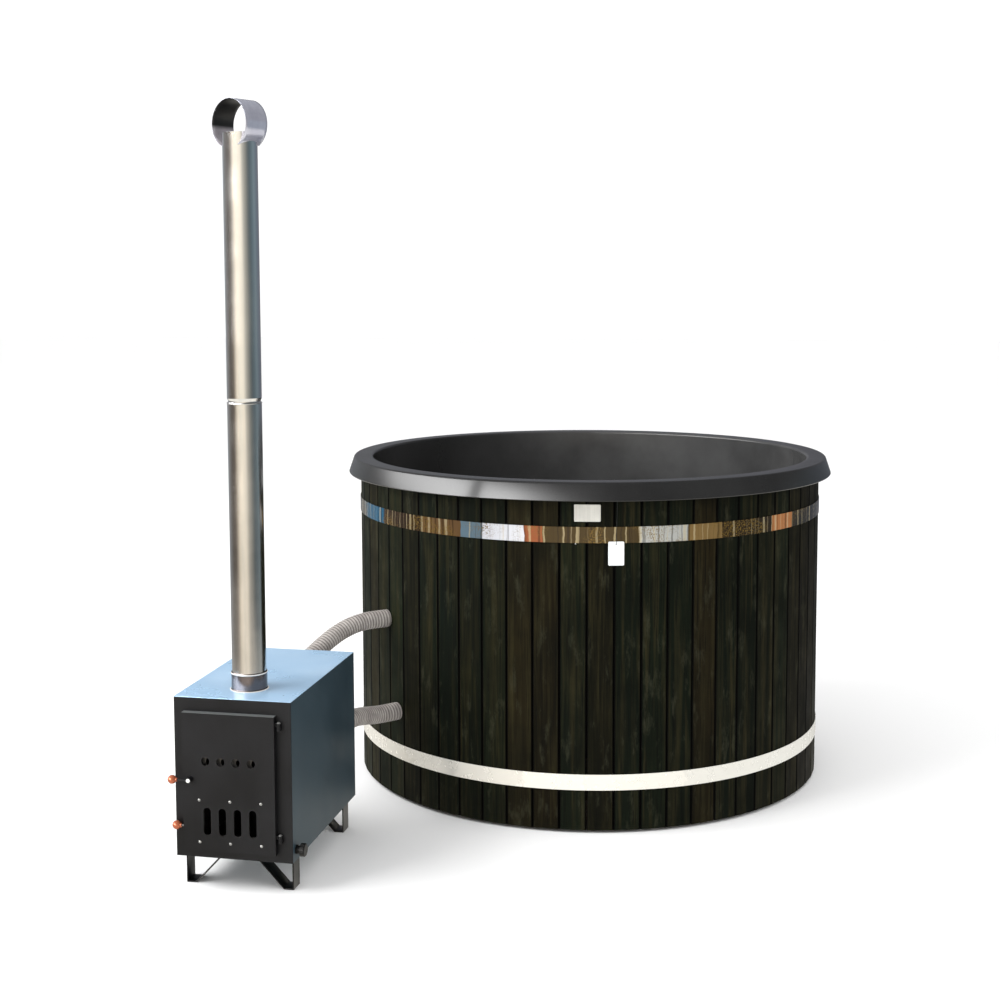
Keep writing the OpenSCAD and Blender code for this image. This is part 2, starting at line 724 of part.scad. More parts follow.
// Steel pipes from the jacket's back out of the casing, with a stop bead for each hose
module jacket_pipes() {
    inside = 60;
    color("lightgray") intersection() {
        port_zone();
        for (p = [hot_port, cold_port]) on_port(p) difference() {
            union() {
                translate([0, 0, -inside]) cylinder(r = pipe_r, h = inside + p[4] + hose_grip);
                translate([0, 0, p[4] - 4]) cylinder(r = pipe_r + 5, h = 3.7);
            }
            translate([0, 0, -inside - cut]) cylinder(r = pipe_r - pipe_t, h = inside + p[4] + hose_grip + 2 * cut);
        }
    }
}

// Cast grate on the firebox ledges
module fire_grate() {
    x0 = jacket_x0 + jacket_t + 2;
    x1 = jacket_x1 - jacket_t - 2;
    y0 = jacket_y0 + 10;
    y1 = jacket_y1 - jacket_t - 4;
    border = 16;
    bars = 9;
    bar_step = (x1 - x0 - 2 * border + 12) / bars;
    color("#4a4846") in_heater() difference() {
        translate([x0, y0, foot_h + grate_z]) cube([x1 - x0, y1 - y0, 12]);
        for (i = [0 : bars - 1]) for (k = [0, 1])
            translate([x0 + border + bar_step * i, y0 + border + k * ((y1 - y0) / 2 - 4), foot_h + grate_z - cut])
                cube([bar_step - 12, (y1 - y0) / 2 - border - 8, 14]);
    }
}

// One bent strap foot in section: upright, short flat on the ground, brace and flange
foot_inset = 12;
foot_flat = 30;
foot_reach = 112;
foot_flange = 22;
module foot_section() {
    t = strap_t;
    x0 = foot_inset;
    lean = (foot_reach - foot_flat) / (foot_h - t);
    shift = t * (sqrt(1 + lean * lean) - lean) ;
    polygon([[x0, 0], [x0 + foot_flat, 0], [x0 + foot_reach, foot_h - t],
             [x0 + foot_reach + foot_flange, foot_h - t], [x0 + foot_reach + foot_flange, foot_h],
             [x0 + foot_reach - shift, foot_h], [x0 + foot_flat - shift, t],
             [x0 + t, t], [x0 + t, foot_h], [x0, foot_h]]);
}
foot_setback = 38;
module strap_feet() {
    color("#2b2b2d") in_heater() for (y = [foot_setback, heater_d - foot_setback - strap_w])
        translate([0, y + strap_w, 0]) {
            rotate([90, 0, 0]) linear_extrude(strap_w) foot_section();
            translate([heater_w, 0, 0]) mirror([1, 0, 0]) rotate([90, 0, 0]) linear_extrude(strap_w) foot_section();
        }
}

// Emptying stub of the water jacket, low on the right side
stub_r = 10.5;
stub_l = 24;
stub_y = 30;
stub_z = foot_h + 31;
module drain_hole(extra) {
    in_heater() translate([jacket_x1 - skin_t - 6, stub_y, stub_z]) rotate([0, 90, 0]) cylinder(r = stub_r + extra, h = 40);
}
module drain_stub() {
    color("#202022") in_heater() translate([jacket_x1 - skin_t, stub_y, stub_z]) rotate([0, 90, 0]) difference() {
        length = heater_w + stub_l - jacket_x1 + skin_t;
        union() {
            cylinder(r = stub_r, h = length);
            translate([0, 0, heater_w - jacket_x1 + skin_t + seat]) cylinder(r = 14, h = 6, $fn = 6);
        }
        translate([0, 0, -cut]) cylinder(r = 8, h = length + 2 * cut);
    }
}

// Round screw cap on the stub's end
module drain_cap() {
    cap_depth = 14;
    cap_grip = 18.5;
    color("#1c1c1e") in_heater() translate([heater_w + stub_l - cap_depth + 4, stub_y, stub_z]) rotate([0, 90, 0])
        difference() {
            union() {
                cylinder(r = cap_grip, h = cap_depth - 2);
                translate([0, 0, cap_depth - 2]) cylinder(r1 = cap_grip, r2 = cap_grip - 2.5, h = 2);
            }
            translate([0, 0, -cut]) cylinder(r = stub_r + run, h = cap_depth - 4 + cut);
            for (i = [0 : 11]) rotate([0, 0, 30 * i]) translate([cap_grip + 1.5, 0, -cut]) cylinder(r = 2.5, h = cap_depth + 2, $fn = 24);
        }
}

// ---- chimney ----

// Collar that carries the chimney on the firebox
module flue_collar() {
    inner = flue_r + seat;
    outer = inner + flue_t + seat + 0.7;
    top = heater_top + collar_h;
    color("#8a8d92") translate([flue_cx, flue_cy, 0]) rotate_extrude()
        polygon([[flue_r - flue_t, jacket_z1], [outer, jacket_z1], [outer, heater_top + seat],
                 [outer + 4, heater_top + seat], [outer + 4, heater_top + 1.5], [outer, heater_top + 4],
                 [outer, top - 4], [outer + 1.2, top - 3], [outer + 1.2, top - 1], [outer, top],
                 [inner, top], [inner, jacket_z1 + 3], [flue_r - flue_t, jacket_z1 + 3]]);
}

// Lower chimney pipe, with a rolled bead at its upper end
flue_bead = 1.6;
module lower_flue() {
    low = jacket_z1 + 3 + seat;
    z = flue_joint_z;
    b = flue_bead;
    color("#b9b6ac") translate([flue_cx, flue_cy, 0]) rotate_extrude()
        polygon(concat([[flue_r - flue_t, low], [flue_r, low], [flue_r, z - 8]],
                       [for (a = [-90 : 30 : 90]) [flue_r + b * cos(a), z - 4 + 4 * sin(a)]],
                       [[flue_r - flue_t, z]]));
}

// Upper chimney pipe: its drawn-in end stands in the lower pipe, with a waist just over the joint
module upper_flue() {
    z = flue_joint_z;
    plug = flue_r - flue_t - seat;
    waist = flue_r - 3.6;
    color("#b9b6ac") translate([flue_cx, flue_cy, 0]) rotate_extrude()
        polygon([[plug - flue_t, z - 40], [plug, z - 40], [plug, z - 1], [waist, z + 1], [waist, z + 7],
                 [flue_r, z + 13], [flue_r, flue_top_z], [flue_r - flue_t, flue_top_z],
                 [flue_r - flue_t, z + 13], [waist - flue_t, z + 7], [waist - flue_t, z + 1],
                 [plug - flue_t, z - 1]]);
}

// Rain cap: a short level tube, open underneath, cut to sit over the pipe's end
module chimney_cap() {
    color("#9a9ca2") translate([flue_cx, flue_cy, flue_top_z + cap_lift]) rotate([0, 0, cap_turn]) difference() {
        translate([0, cap_l / 2, 0]) rotate([90, 0, 0]) linear_extrude(cap_l) difference() {
            circle(r = cap_r);
            circle(r = cap_r - flue_t);
            polygon([[0, 0], [-2 * cap_r * sin(cap_open / 2), -2 * cap_r * cos(cap_open / 2)],
                     [2 * cap_r * sin(cap_open / 2), -2 * cap_r * cos(cap_open / 2)]]);
        }
        translate([0, 0, -2 * cap_r]) cylinder(r = flue_r + seat, h = 2 * cap_r);
    }
}

// ---- door ----

door_back = -door_gap;
door_face = -door_gap - door_d;
door_low = foot_h + door_z;
hinge_x = door_x + door_w + hinge_off;
hinge_y = -9;
pin_r = 3;
hinge_zs = [door_low + hinge_low, door_low + door_h - hinge_high];
lug_h = 10;
block_h = 11;
latch_x = door_x + latch_in;
latch_z = door_low + latch_up;
latch_r = 5;
damper_z = door_low + damper_up;
rod_r = 3;
rod_y = door_face + sheet_t + seat + rod_r + 0.2;
slot_x0 = door_x + slot_in;
slot_z = door_low + slot_up;
hole_x0 = door_x + hole_in;
hole_z = door_low + hole_up;

// Places its children at each of the four air slots or holes
module four(x0) {
    for (i = [0 : 3]) translate([x0 + slot_step * i, 0, 0]) children();
}
module round_cut(r, y, t) {
    translate([0, y, 0]) rotate([-90, 0, 0]) cylinder(r = r, h = t, $fn = 48);
}

// Folded door tray with its air holes and slots
module door_panel() {
    color("#2b2b2d") in_heater() difference() {
        translate([door_x, door_face, door_low]) cube([door_w, door_d, door_h]);
        translate([door_x + sheet_t, door_face + sheet_t, door_low + sheet_t])
            cube([door_w - 2 * sheet_t, door_d, door_h - 2 * sheet_t]);
        four(slot_x0) upright_slot(0, slot_z, slot_w, slot_h, door_face - cut, sheet_t + 2 * cut);
        four(hole_x0) translate([0, 0, hole_z]) round_cut(air_hole_r, door_face - cut, sheet_t + 2 * cut);
        translate([latch_x, 0, latch_z]) round_cut(latch_r + run, door_face - cut, sheet_t + 2 * cut);
        rivet_spots() round_cut(rivet_r + run, door_face - cut, sheet_t + 2 * cut);
        translate([door_x - cut, rod_y, damper_z]) rotate([0, 90, 0]) cylinder(r = rod_r + run, h = sheet_t + 2 * cut);
    }
}

// Inner plate of the door, with offset air holes and a window behind the slots
baffle_y = -door_gap - 2.5;
module door_baffle() {
    inner = sheet_t + seat;
    color("#55585a") in_heater() difference() {
        translate([door_x + inner, baffle_y, door_low + inner]) cube([door_w - 2 * inner, sheet_t, door_h - 2 * inner]);
        four(hole_x0 + 7) translate([0, 0, hole_z - 4]) round_cut(air_hole_r, baffle_y - cut, sheet_t + 2 * cut);
        translate([slot_x0 - slot_w / 2 - 4, baffle_y - cut, slot_z - slot_h / 2 - 2])
            cube([3 * slot_step + slot_w + 8, sheet_t + 2 * cut, slot_h + 4]);
        translate([latch_x, 0, latch_z]) round_cut(latch_r + run, baffle_y - cut, sheet_t + 2 * cut);
    }
}

// Rope seal round the door's inner edge, lying on the frame
module door_seal() {
    inner = sheet_t + seat + 0.2;
    rope = 6;
    back = baffle_y + sheet_t;
    color("#cfcabd") in_heater() difference() {
        translate([door_x + inner, back, door_low + inner]) cube([door_w - 2 * inner, -back - seat, door_h - 2 * inner]);
        translate([door_x + inner + rope, back - cut, door_low + inner + rope])
            cube([door_w - 2 * (inner + rope), 5, door_h - 2 * (inner + rope)]);
    }
}

// Guides that hold the damper plate behind the slots
plate_z0 = slot_z - slot_h / 2 - 13;
plate_z1 = slot_z + slot_h / 2 + 13;
plate_y = door_face + sheet_t + seat;
guide_h = 15;
rivet_r = 2.5;
rivet_in = 47.5;
rivet_out = 41.5;
rivet_xs = [door_x + rivet_in, door_x + (rivet_in + door_w - rivet_out) / 2, door_x + door_w - rivet_out];
rivet_zs = [plate_z0 - seat - guide_h / 2, plate_z1 + seat + guide_h / 2];
module rivet_spots() {
    for (x = rivet_xs) for (z = rivet_zs) translate([x, 0, z]) children();
}
module guide_section() {
    skin = door_face + sheet_t;
    lip = 7;
    back = plate_y + sheet_t + seat;
    polygon([[skin, seat], [back, seat], [back, -lip], [back + 2, -lip], [back + 2, seat + 3],
             [skin + 2, seat + 3], [skin + 2, seat + guide_h], [skin, seat + guide_h]]);
}
guide_in = 31;
guide_out = 14;
module damper_guides() {
    x0 = door_x + guide_in;
    length = door_w - guide_in - guide_out;
    color("#6a6c6e") in_heater() difference() {
        union() {
            translate([x0, 0, plate_z1]) rotate([90, 0, 90]) linear_extrude(length) guide_section();
            translate([x0, 0, plate_z0]) mirror([0, 0, 1]) rotate([90, 0, 90]) linear_extrude(length) guide_section();
        }
        rivet_spots() round_cut(rivet_r + run, door_face - cut, 12);
    }
}

// Round-headed rivets of the guides
module door_rivets() {
    tail = door_face + sheet_t + 2;
    color("white") in_heater() rivet_spots() {
        translate([0, door_face, 0]) rotate([-90, 0, 0]) cylinder(r = rivet_r, h = tail - door_face);
        translate([0, door_face, 0]) rotate([90, 0, 0]) cylinder(r1 = 4.5, r2 = 2.5, h = 2);
        translate([0, tail, 0]) rotate([-90, 0, 0]) cylinder(r1 = 4, r2 = 2.5, h = 1.5);
    }
}

// Sliding damper plate with its pull rod
rod_end = 6;
plate_in = 39;
plate_out = 29;
module damper_plate() {
    plate_x = door_x + plate_in;
    color("#77797b") in_heater() {
        difference() {
            translate([plate_x, plate_y, plate_z0])
                cube([door_w - plate_in - plate_out, sheet_t, plate_z1 - plate_z0]);
            four(slot_x0) upright_slot(0, slot_z, slot_w, slot_h, plate_y - cut, sheet_t + 2 * cut);
        }
        translate([rod_end, rod_y, damper_z]) rotate([0, 90, 0]) cylinder(r = rod_r, h = plate_x + 14 - rod_end);
    }
}

// Ball with a flat on its right side, drilled for a rod whose end stands at this x
module ball_knob(end) {
    difference() {
        sphere(r = knob_r);
        translate([knob_r - 1.2, -knob_r, -knob_r]) cube(2 * knob_r);
        translate([end - seat, 0, 0]) rotate([0, 90, 0]) cylinder(r = rod_r + grip, h = 2 * knob_r);
    }
}

// Ball knob on the damper's rod
module damper_knob() {
    color("#b5603c") in_heater() translate([rod_end + 2, rod_y, damper_z]) ball_knob(-2);
}

// Turning latch: shaft through the door, handle rod outside, tongue inside
handle_l = 49;
handle_y = door_face - knob_r - 1;
module latch_lever() {
    tongue_y = frame_t + 0.4;
    tongue_t = 3.2;
    color("#202022") in_heater() translate([latch_x, 0, latch_z]) {
        translate([0, handle_y - 5, 0]) rotate([-90, 0, 0])
            cylinder(r = latch_r, h = tongue_y + tongue_t - handle_y + 5);
        translate([0, handle_y - 5, 0]) rotate([-90, 0, 0])
            cylinder(r = 8, h = door_face - seat - handle_y + 5);
        translate([0, handle_y, 0]) rotate([0, -90, 0]) cylinder(r = rod_r, h = handle_l);
        translate([-5.5, tongue_y, -6]) cube([11, tongue_t, 34]);
    }
}
module latch_knob() {
    color("#b5603c") in_heater() translate([latch_x - handle_l, handle_y, latch_z]) ball_knob(0);
}

// Eyes on the door's edge that turn on the hinge pins
module hinge_lugs() {
    arm = 6;
    color("#2b2b2d") in_heater() for (z = hinge_zs) translate([0, 0, z - lug_h / 2]) difference() {
        union() {
            translate([hinge_x, hinge_y, 0]) cylinder(r = 6.3, h = lug_h);
            translate([door_x + door_w, hinge_y - arm / 2, 0]) cube([hinge_off, arm, lug_h]);
        }
        translate([hinge_x, hinge_y, -cut]) cylinder(r = pin_r + run, h = lug_h + 2 * cut);
    }
}

// Blocks on the front frame that carry the hinge pins
module hinge_brackets() {
    color("#2b2b2d") in_heater() for (z = hinge_zs)
        translate([0, 0, z - lug_h / 2 - seat - block_h]) difference() {
            union() {
                translate([hinge_x, hinge_y, 0]) cylinder(r = 6.3, h = block_h);
                translate([hinge_x - 6.3, hinge_y, 0]) cube([12.6, -hinge_y, block_h]);
            }
            translate([hinge_x, hinge_y, -cut]) cylinder(r = pin_r + grip, h = block_h + 2 * cut);
        }
}

// Hinge pins with round heads
module hinge_pins() {
    color("#9a9a9a") in_heater() for (z = hinge_zs) translate([hinge_x, hinge_y, z]) {
        translate([0, 0, -lug_h / 2 - seat - block_h]) cylinder(r = pin_r, h = block_h + lug_h + 2 * seat);
        translate([0, 0, lug_h / 2 + seat]) cylinder(r1 = 6, r2 = 3.5, h = 3);
    }
}

// ---- hoses ----

module hot_hose() { color("#a59b96") ribbed_hose(hose_route(hot_port, inlet_dir, inlet_z)); }
module cold_hose() { color("#a59b96") ribbed_hose(hose_route(cold_port, outlet_dir, outlet_z)); }

// Screw clamps round the hose ends behind the heater
module hose_clamps() {
    band_w = 12;
    inner = hose_r + seat;
    color("silver") for (p = [hot_port, cold_port]) on_port(p) translate([0, 0, p[4] + 10]) difference() {
        union() {
            cylinder(r = inner + 1, h = band_w);
            translate([-8, inner, 0]) cube([16, 8, band_w]);
            translate([-13, inner + 5, band_w / 2]) rotate([0, 90, 0]) cylinder(r = 4, h = 26, $fn = 32);
        }
        translate([0, 0, -cut]) cylinder(r = inner, h = band_w + 2 * cut);
    }
}

bearers();
floor_deck();
staves();
upper_hoop();
lower_hoop();
hoop_bolts();
liner_rim();
liner_skirt();
liner_wall();
liner_seat();
liner_well();
liner_floor();
hot_inlet();
cold_outlet();
fitting_nuts();
port_screens();
floor_drain();
drain_pipe();
valve_body();
valve_lever();
casing();
top_plate();
front_frame();
jacket_sides();
jacket_back();
jacket_roof();
ash_floor();
grate_ledges();
jacket_pipes();
fire_grate();
strap_feet();
drain_stub();
drain_cap();
flue_collar();
lower_flue();
upper_flue();
chimney_cap();
hinge_brackets();
hinge_pins();
door_panel();
hinge_lugs();
door_baffle();
door_seal();
damper_guides();
door_rivets();
damper_plate();
damper_knob();
latch_lever();
latch_knob();
hot_hose();
cold_hose();
hose_clamps();
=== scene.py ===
# Round wooden hot tub with a wood burning heater beside it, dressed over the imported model.
import math
import bmesh
import bpy
import numpy as np
from mathutils import Matrix, Vector


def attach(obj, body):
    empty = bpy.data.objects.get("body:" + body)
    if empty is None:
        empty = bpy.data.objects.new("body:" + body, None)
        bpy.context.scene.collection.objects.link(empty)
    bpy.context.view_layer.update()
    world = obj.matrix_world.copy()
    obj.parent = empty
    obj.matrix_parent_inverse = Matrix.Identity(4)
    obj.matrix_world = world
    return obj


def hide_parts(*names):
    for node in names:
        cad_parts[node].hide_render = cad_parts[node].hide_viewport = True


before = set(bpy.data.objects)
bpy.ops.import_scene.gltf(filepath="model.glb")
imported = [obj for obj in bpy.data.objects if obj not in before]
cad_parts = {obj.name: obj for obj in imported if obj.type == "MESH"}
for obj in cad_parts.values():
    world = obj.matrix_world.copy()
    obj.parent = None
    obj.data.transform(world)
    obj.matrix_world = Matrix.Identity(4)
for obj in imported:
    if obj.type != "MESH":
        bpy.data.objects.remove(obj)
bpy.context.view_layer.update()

print("model loaded:", len(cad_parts), "nodes")

# camera first, at the photograph's angle
viewPoint = {
    "place": (0.796, -5.387, 1.708),   # metres
    "turn": 11.7,                      # degrees from +Y towards -X
    "down": 5.17,                      # degrees below level
    "roll": 0.17,                      # degrees, right side down
    "lens": 55.3,                      # millimetres, as is the sensor's width
    "sensor": 36.0,
    "shiftY": -0.08,
}


def addObject(name, data):
    # a new object in the scene
    obj = bpy.data.objects.new(name, data)
    bpy.context.scene.collection.objects.link(obj)
    return obj


def placeCamera(v):
    # rolled about its own axis, then tipped from straight down up to its angle, then turned about the upright
    cam = bpy.data.cameras.new("viewCamera")
    cam.sensor_width, cam.lens, cam.shift_y = v["sensor"], v["lens"], v["shiftY"]
    spin = (Matrix.Rotation(math.radians(v["turn"]), 4, "Z")
            @ Matrix.Rotation(math.radians(90.0 - v["down"]), 4, "X")
            @ Matrix.Rotation(math.radians(-v["roll"]), 4, "Z"))
    obj = addObject("viewCamera", cam)
    obj.matrix_world = Matrix.Translation(Vector(v["place"])) @ spin
    bpy.context.scene.camera = obj


placeCamera(viewPoint)
print("camera placed")

# small tools for meshes
weld = {"near": 3e-6, "flat": 0.3}   # metres between points that are one, degrees between faces that are one


def arc(cx, cz, r, a0, a1, n):
    # n points of a circle round (cx, cz), from angle a0 to a1 in degrees
    a = np.radians(np.linspace(a0, a1, n))
    return np.stack([cx + r * np.cos(a), cz + r * np.sin(a)], 1)


def unit(rows):
    # each row divided by its length
    return rows / np.linalg.norm(rows, axis=1, keepdims=True)


def stepsOf(path):
    # the distance from each point of a path to the next
    return np.linalg.norm(np.diff(path, axis=0), axis=1)


def grid(points, closeU=False, closeV=False):
    # quads between neighbours of a table of points, rows along u and columns along v
    nu, nv = points.shape[:2]
    u, v = np.meshgrid(np.arange(nu if closeU else nu - 1), np.arange(nv if closeV else nv - 1), indexing="ij")
    u2, v2 = (u + 1) % nu, (v + 1) % nv
    quads = np.stack([u * nv + v, u2 * nv + v, u2 * nv + v2, u * nv + v2], -1).reshape(-1, 4)
    return points.reshape(-1, 3), quads


def turned(profile, centre=(0.0, 0.0, 0.0), steps=96):
    # a profile of (radius, height) carried round an upright axis
    a = np.linspace(0, 2 * np.pi, steps, endpoint=False)
    p = np.asarray(profile, float)
    pts = np.stack([np.outer(np.cos(a), p[:, 0]), np.outer(np.sin(a), p[:, 0]),
                    np.broadcast_to(p[:, 1], (len(a), len(p)))], -1)
    return grid(pts + np.asarray(centre, float), closeU=True)


def ringsAlong(path, count, ref=(0.0, 0.0, 1.0)):
    # for each point of a path: directions square to it, all the way round, and their angles
    t = unit(np.gradient(path, axis=0))
    side = unit(np.cross(t, ref))
    up = np.cross(side, t)
    a = np.linspace(0, 2 * np.pi, count, endpoint=False)
    return side[:, None] * np.cos(a)[None, :, None] + up[:, None] * np.sin(a)[None, :, None], a


def aimed(points, origin, axis):
    # turns points built round +Z so that +Z runs along a level axis, and moves them to origin
    z = np.asarray(axis, float)
    x = np.cross((0, 0, 1), z)
    return points @ np.stack([x, np.cross(z, x), z]) + np.asarray(origin, float)


def dome(centre, axis, r, high, n=9, around=28, sunk=0.0006):
    # a cap of a sphere with a straight foot, closed behind, r wide and high above its foot
    big = (r * r + high * high) / (2 * high)
    rim = math.degrees(math.acos((big - high) / big))
    cap = arc(0.0, high - big, big, 90, 90 - rim, n)
    points, cells = turned(np.vstack([cap, [[r, -sunk], [0.0, -sunk]]]), steps=around)
    return aimed(points, centre, axis), cells


def coords(mesh):
    # all the points of a mesh as one table
    flat = np.empty(len(mesh.vertices) * 3, np.float32)
    mesh.vertices.foreach_get("co", flat)
    return flat.reshape(-1, 3)


def welded(mesh, flatten=False):
    # points that lie together become one, and where it is asked for, so do faces in one plane
    bm = bmesh.new()
    bm.from_mesh(mesh)
    bmesh.ops.remove_doubles(bm, verts=bm.verts, dist=weld["near"])
    if flatten:
        bmesh.ops.dissolve_limit(bm, angle_limit=math.radians(weld["flat"]), verts=bm.verts, edges=bm.edges)
    bm.to_mesh(mesh)
    bm.free()


def addPiece(name, mesh, mat, body, nodes, sharp):
    # the mesh as a piece of the model: smooth except at its sharp edges, in its finish, on its body
    mesh.shade_smooth()
    mesh.set_sharp_from_angle(angle=math.radians(sharp))
    mesh.materials.clear()
    mesh.materials.append(mat)
    obj = addObject(name, mesh)
    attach(obj, body)
    if nodes:
        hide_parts(*nodes)
    return obj


def build(name, parts, mat, body, nodes=(), sharp=38.0):
    # joins the parts (points, faces) into one mesh and closes its seams and poles
    verts, faces, base = [], [], 0
    for points, cells in parts:
        verts.append(points)
        faces += (cells + base).tolist()
        base += len(points)
    mesh = bpy.data.meshes.new(name)
    mesh.from_pydata(np.concatenate(verts).tolist(), [], faces)
    welded(mesh)
    return addPiece(name, mesh, mat, body, nodes, sharp)


def softened(node, mat, body, width, steps, sharp=38.0):
    # the node's own form with every hard edge rounded over
    mesh = bpy.data.objects[node].data.copy()
    mesh.name = node + "Soft"
    welded(mesh, True)
    obj = addPiece(node + "Soft", mesh, mat, body, [node], sharp)
    mod = obj.modifiers.new("edges", "BEVEL")
    mod.width, mod.segments = width, steps
    mod.limit_method, mod.angle_limit = "ANGLE", math.radians(sharp)
    mod.use_clamp_overlap, mod.harden_normals = True, False


# small tools for materials


def tone(r, g, b):
    # screen colour of 0 to 255 as the linear colour that shaders take
    c = np.array([r, g, b]) / 255.0
    lin = np.where(c <= 0.04045, c / 12.92, ((c + 0.055) / 1.055) ** 2.4)
    return (*lin.tolist(), 1.0)


def feed(tree, socket, value):
    # a socket takes a link from another node, or a plain value
    if isinstance(value, bpy.types.NodeSocket):
        tree.links.new(value, socket)
    else:
        socket.default_value = value


def put(tree, kind, inputs=None, **settings):
    # a new node: its settings first, then its inputs
    node = tree.nodes.new(kind)
    for key, value in settings.items():
        setattr(node, key, value)
    for key, value in (inputs or {}).items():
        feed(tree, node.inputs[key], value)
    return node


def sums(tree, operation, a, b=0.0):
    # one step of arithmetic
    return put(tree, "ShaderNodeMath", {0: a, 1: b}, operation=operation).outputs[0]


def times(tree, first, *others):
    # the product of all the values
    for value in others:
        first = sums(tree, "MULTIPLY", first, value)
    return first


def plus(tree, first, *others):
    # the sum of all the values
    for value in others:
        first = sums(tree, "ADD", first, value)
    return first


def spread(tree, value, low, high, to0=0.0, to1=1.0):
    # carries low to to0 and high to to1, evenly between them and held beyond them
    return put(tree, "ShaderNodeMapRange", {0: value, 1: low, 2: high, 3: to0, 4: to1}).outputs[0]


def blendColour(tree, share, a, b):
    # colour a where share is 0, colour b where it is 1
    return put(tree, "ShaderNodeMix", {0: share, 6: a, 7: b}, data_type="RGBA").outputs[2]


def layered(tree, base, layers):
    # colours laid over a base, each by (where it lies, how much of it, its colour)
    for share, most, colour in layers:
        base = blendColour(tree, times(tree, share, most), base, tone(*colour))
    return base


def axesOf(tree, vector):
    # the three numbers of a vector
    return put(tree, "ShaderNodeSeparateXYZ", {0: vector}).outputs


def vectorMath(tree, operation, *vectors):
    # one step of arithmetic with vectors
    return put(tree, "ShaderNodeVectorMath", dict(enumerate(vectors)), operation=operation).outputs


def turnOf(tree, where):
    # angle of a point about the upright axis, from +X towards +Y
    xyz = axesOf(tree, where)
    return sums(tree, "ARCTAN2", xyz[1], xyz[0])


def ramp(tree, angle, stops, steps=False):
    # colour by an angle of half a turn each way; a stop is (degrees, colour), and with steps it lasts up to the next
    node = put(tree, "ShaderNodeValToRGB", {0: spread(tree, angle, -math.pi, math.pi)})
    table = node.color_ramp
    if steps:
        table.interpolation = "CONSTANT"
    while len(table.elements) < len(stops):
        table.elements.new(0.5)
    for i, (degrees, colour) in enumerate(stops):
        table.elements[i].position = (degrees + 180.0) / 360.0
        table.elements[i].color = tone(*colour)
    return node.outputs[0]


def plainNoise(tree, vector, scale, detail=4.0, rough=0.5, bent=0.0):
    # clouds of a given size and fineness
    return put(tree, "ShaderNodeTexNoise", {"Vector": vector, "Scale": scale, "Detail": detail, "Roughness": rough,
                                            "Distortion": bent}).outputs[0]


def noise(tree, vector, scale, detail=4.0, rough=0.5, stretch=(1, 1, 1)):
    # the same, drawn out along an axis where stretch is small
    at = put(tree, "ShaderNodeMapping", {"Vector": vector, "Scale": stretch}).outputs[0]
    return plainNoise(tree, at, scale, detail, rough)


def newGroup(name, inputs, outputs):
    # an empty node group with named inputs (numbers, or vectors of three) and named numbers as outputs
    tree = bpy.data.node_groups.new(name, "ShaderNodeTree")
    for label, value in inputs.items():
        kind = "NodeSocketFloat" if isinstance(value, float) else "NodeSocketVector"
        tree.interface.new_socket(name=label, in_out="INPUT", socket_type=kind).default_value = value
    for label in outputs:
        tree.interface.new_socket(name=label, in_out="OUTPUT", socket_type="NodeSocketFloat")
    return tree, tree.nodes.new("NodeGroupInput").outputs, tree.nodes.new("NodeGroupOutput").inputs


def surfaceWear():
    # soft clouds, long streaks and small specks, as tone, roughness change and height
    tree, given, out = newGroup("surfaceWear", {
        "Position": (0.0, 0.0, 0.0), "Cloud Scale": 3.0, "Streak Scale": 30.0, "Speck Scale": 400.0, "Streak": 0.5,
        "Speck": 0.2}, ("Tone", "Rough", "Height"))
    at = given["Position"]
    cloud = plainNoise(tree, at, given["Cloud Scale"], 5.0)
    streak = noise(tree, at, given["Streak Scale"], stretch=(1.0, 1.0, 0.05))
    speck = plainNoise(tree, at, given["Speck Scale"], 2.0)
    a = times(tree, plus(tree, streak, -0.5), given["Streak"])
    b = times(tree, plus(tree, speck, -0.5), given["Speck"])
    feed(tree, out["Tone"], spread(tree, plus(tree, cloud, a, b), 0.3, 0.7))
    feed(tree, out["Rough"], spread(tree, cloud, 0.35, 0.65))
    feed(tree, out["Height"], plus(tree, a, b, 0.5))
    return tree


def timberFigure():
    # long fibres, darker late wood bands and slow blotches along one direction, moved off by a seed
    tree, given, out = newGroup("timberFigure", {
        "Position": (0.0, 0.0, 0.0), "Along": (1.0, 1.0, 0.04), "Fibre Scale": 160.0, "Band Scale": 22.0,
        "Seed": 0.0}, ("Fibre", "Band", "Blotch", "Height"))
    shift = put(tree, "ShaderNodeCombineXYZ",
                {i: times(tree, given["Seed"], far) for i, far in enumerate((17.3, 5.1, 9.7))}).outputs[0]
    at = vectorMath(tree, "ADD", given["Position"], shift)[0]
    drawn = vectorMath(tree, "MULTIPLY", at, given["Along"])[0]
    fibre = plainNoise(tree, drawn, given["Fibre Scale"], 3.0)
    band = plainNoise(tree, drawn, given["Band Scale"], 5.0, 0.6, 0.6)
    feed(tree, out["Fibre"], fibre)
    feed(tree, out["Band"], spread(tree, band, 0.3, 0.7))
    feed(tree, out["Blotch"], spread(tree, plainNoise(tree, at, 5.0, 4.0, 0.6), 0.32, 0.68))
    feed(tree, out["Height"], plus(tree, times(tree, fibre, 0.5), times(tree, band, 0.5)))
    return tree


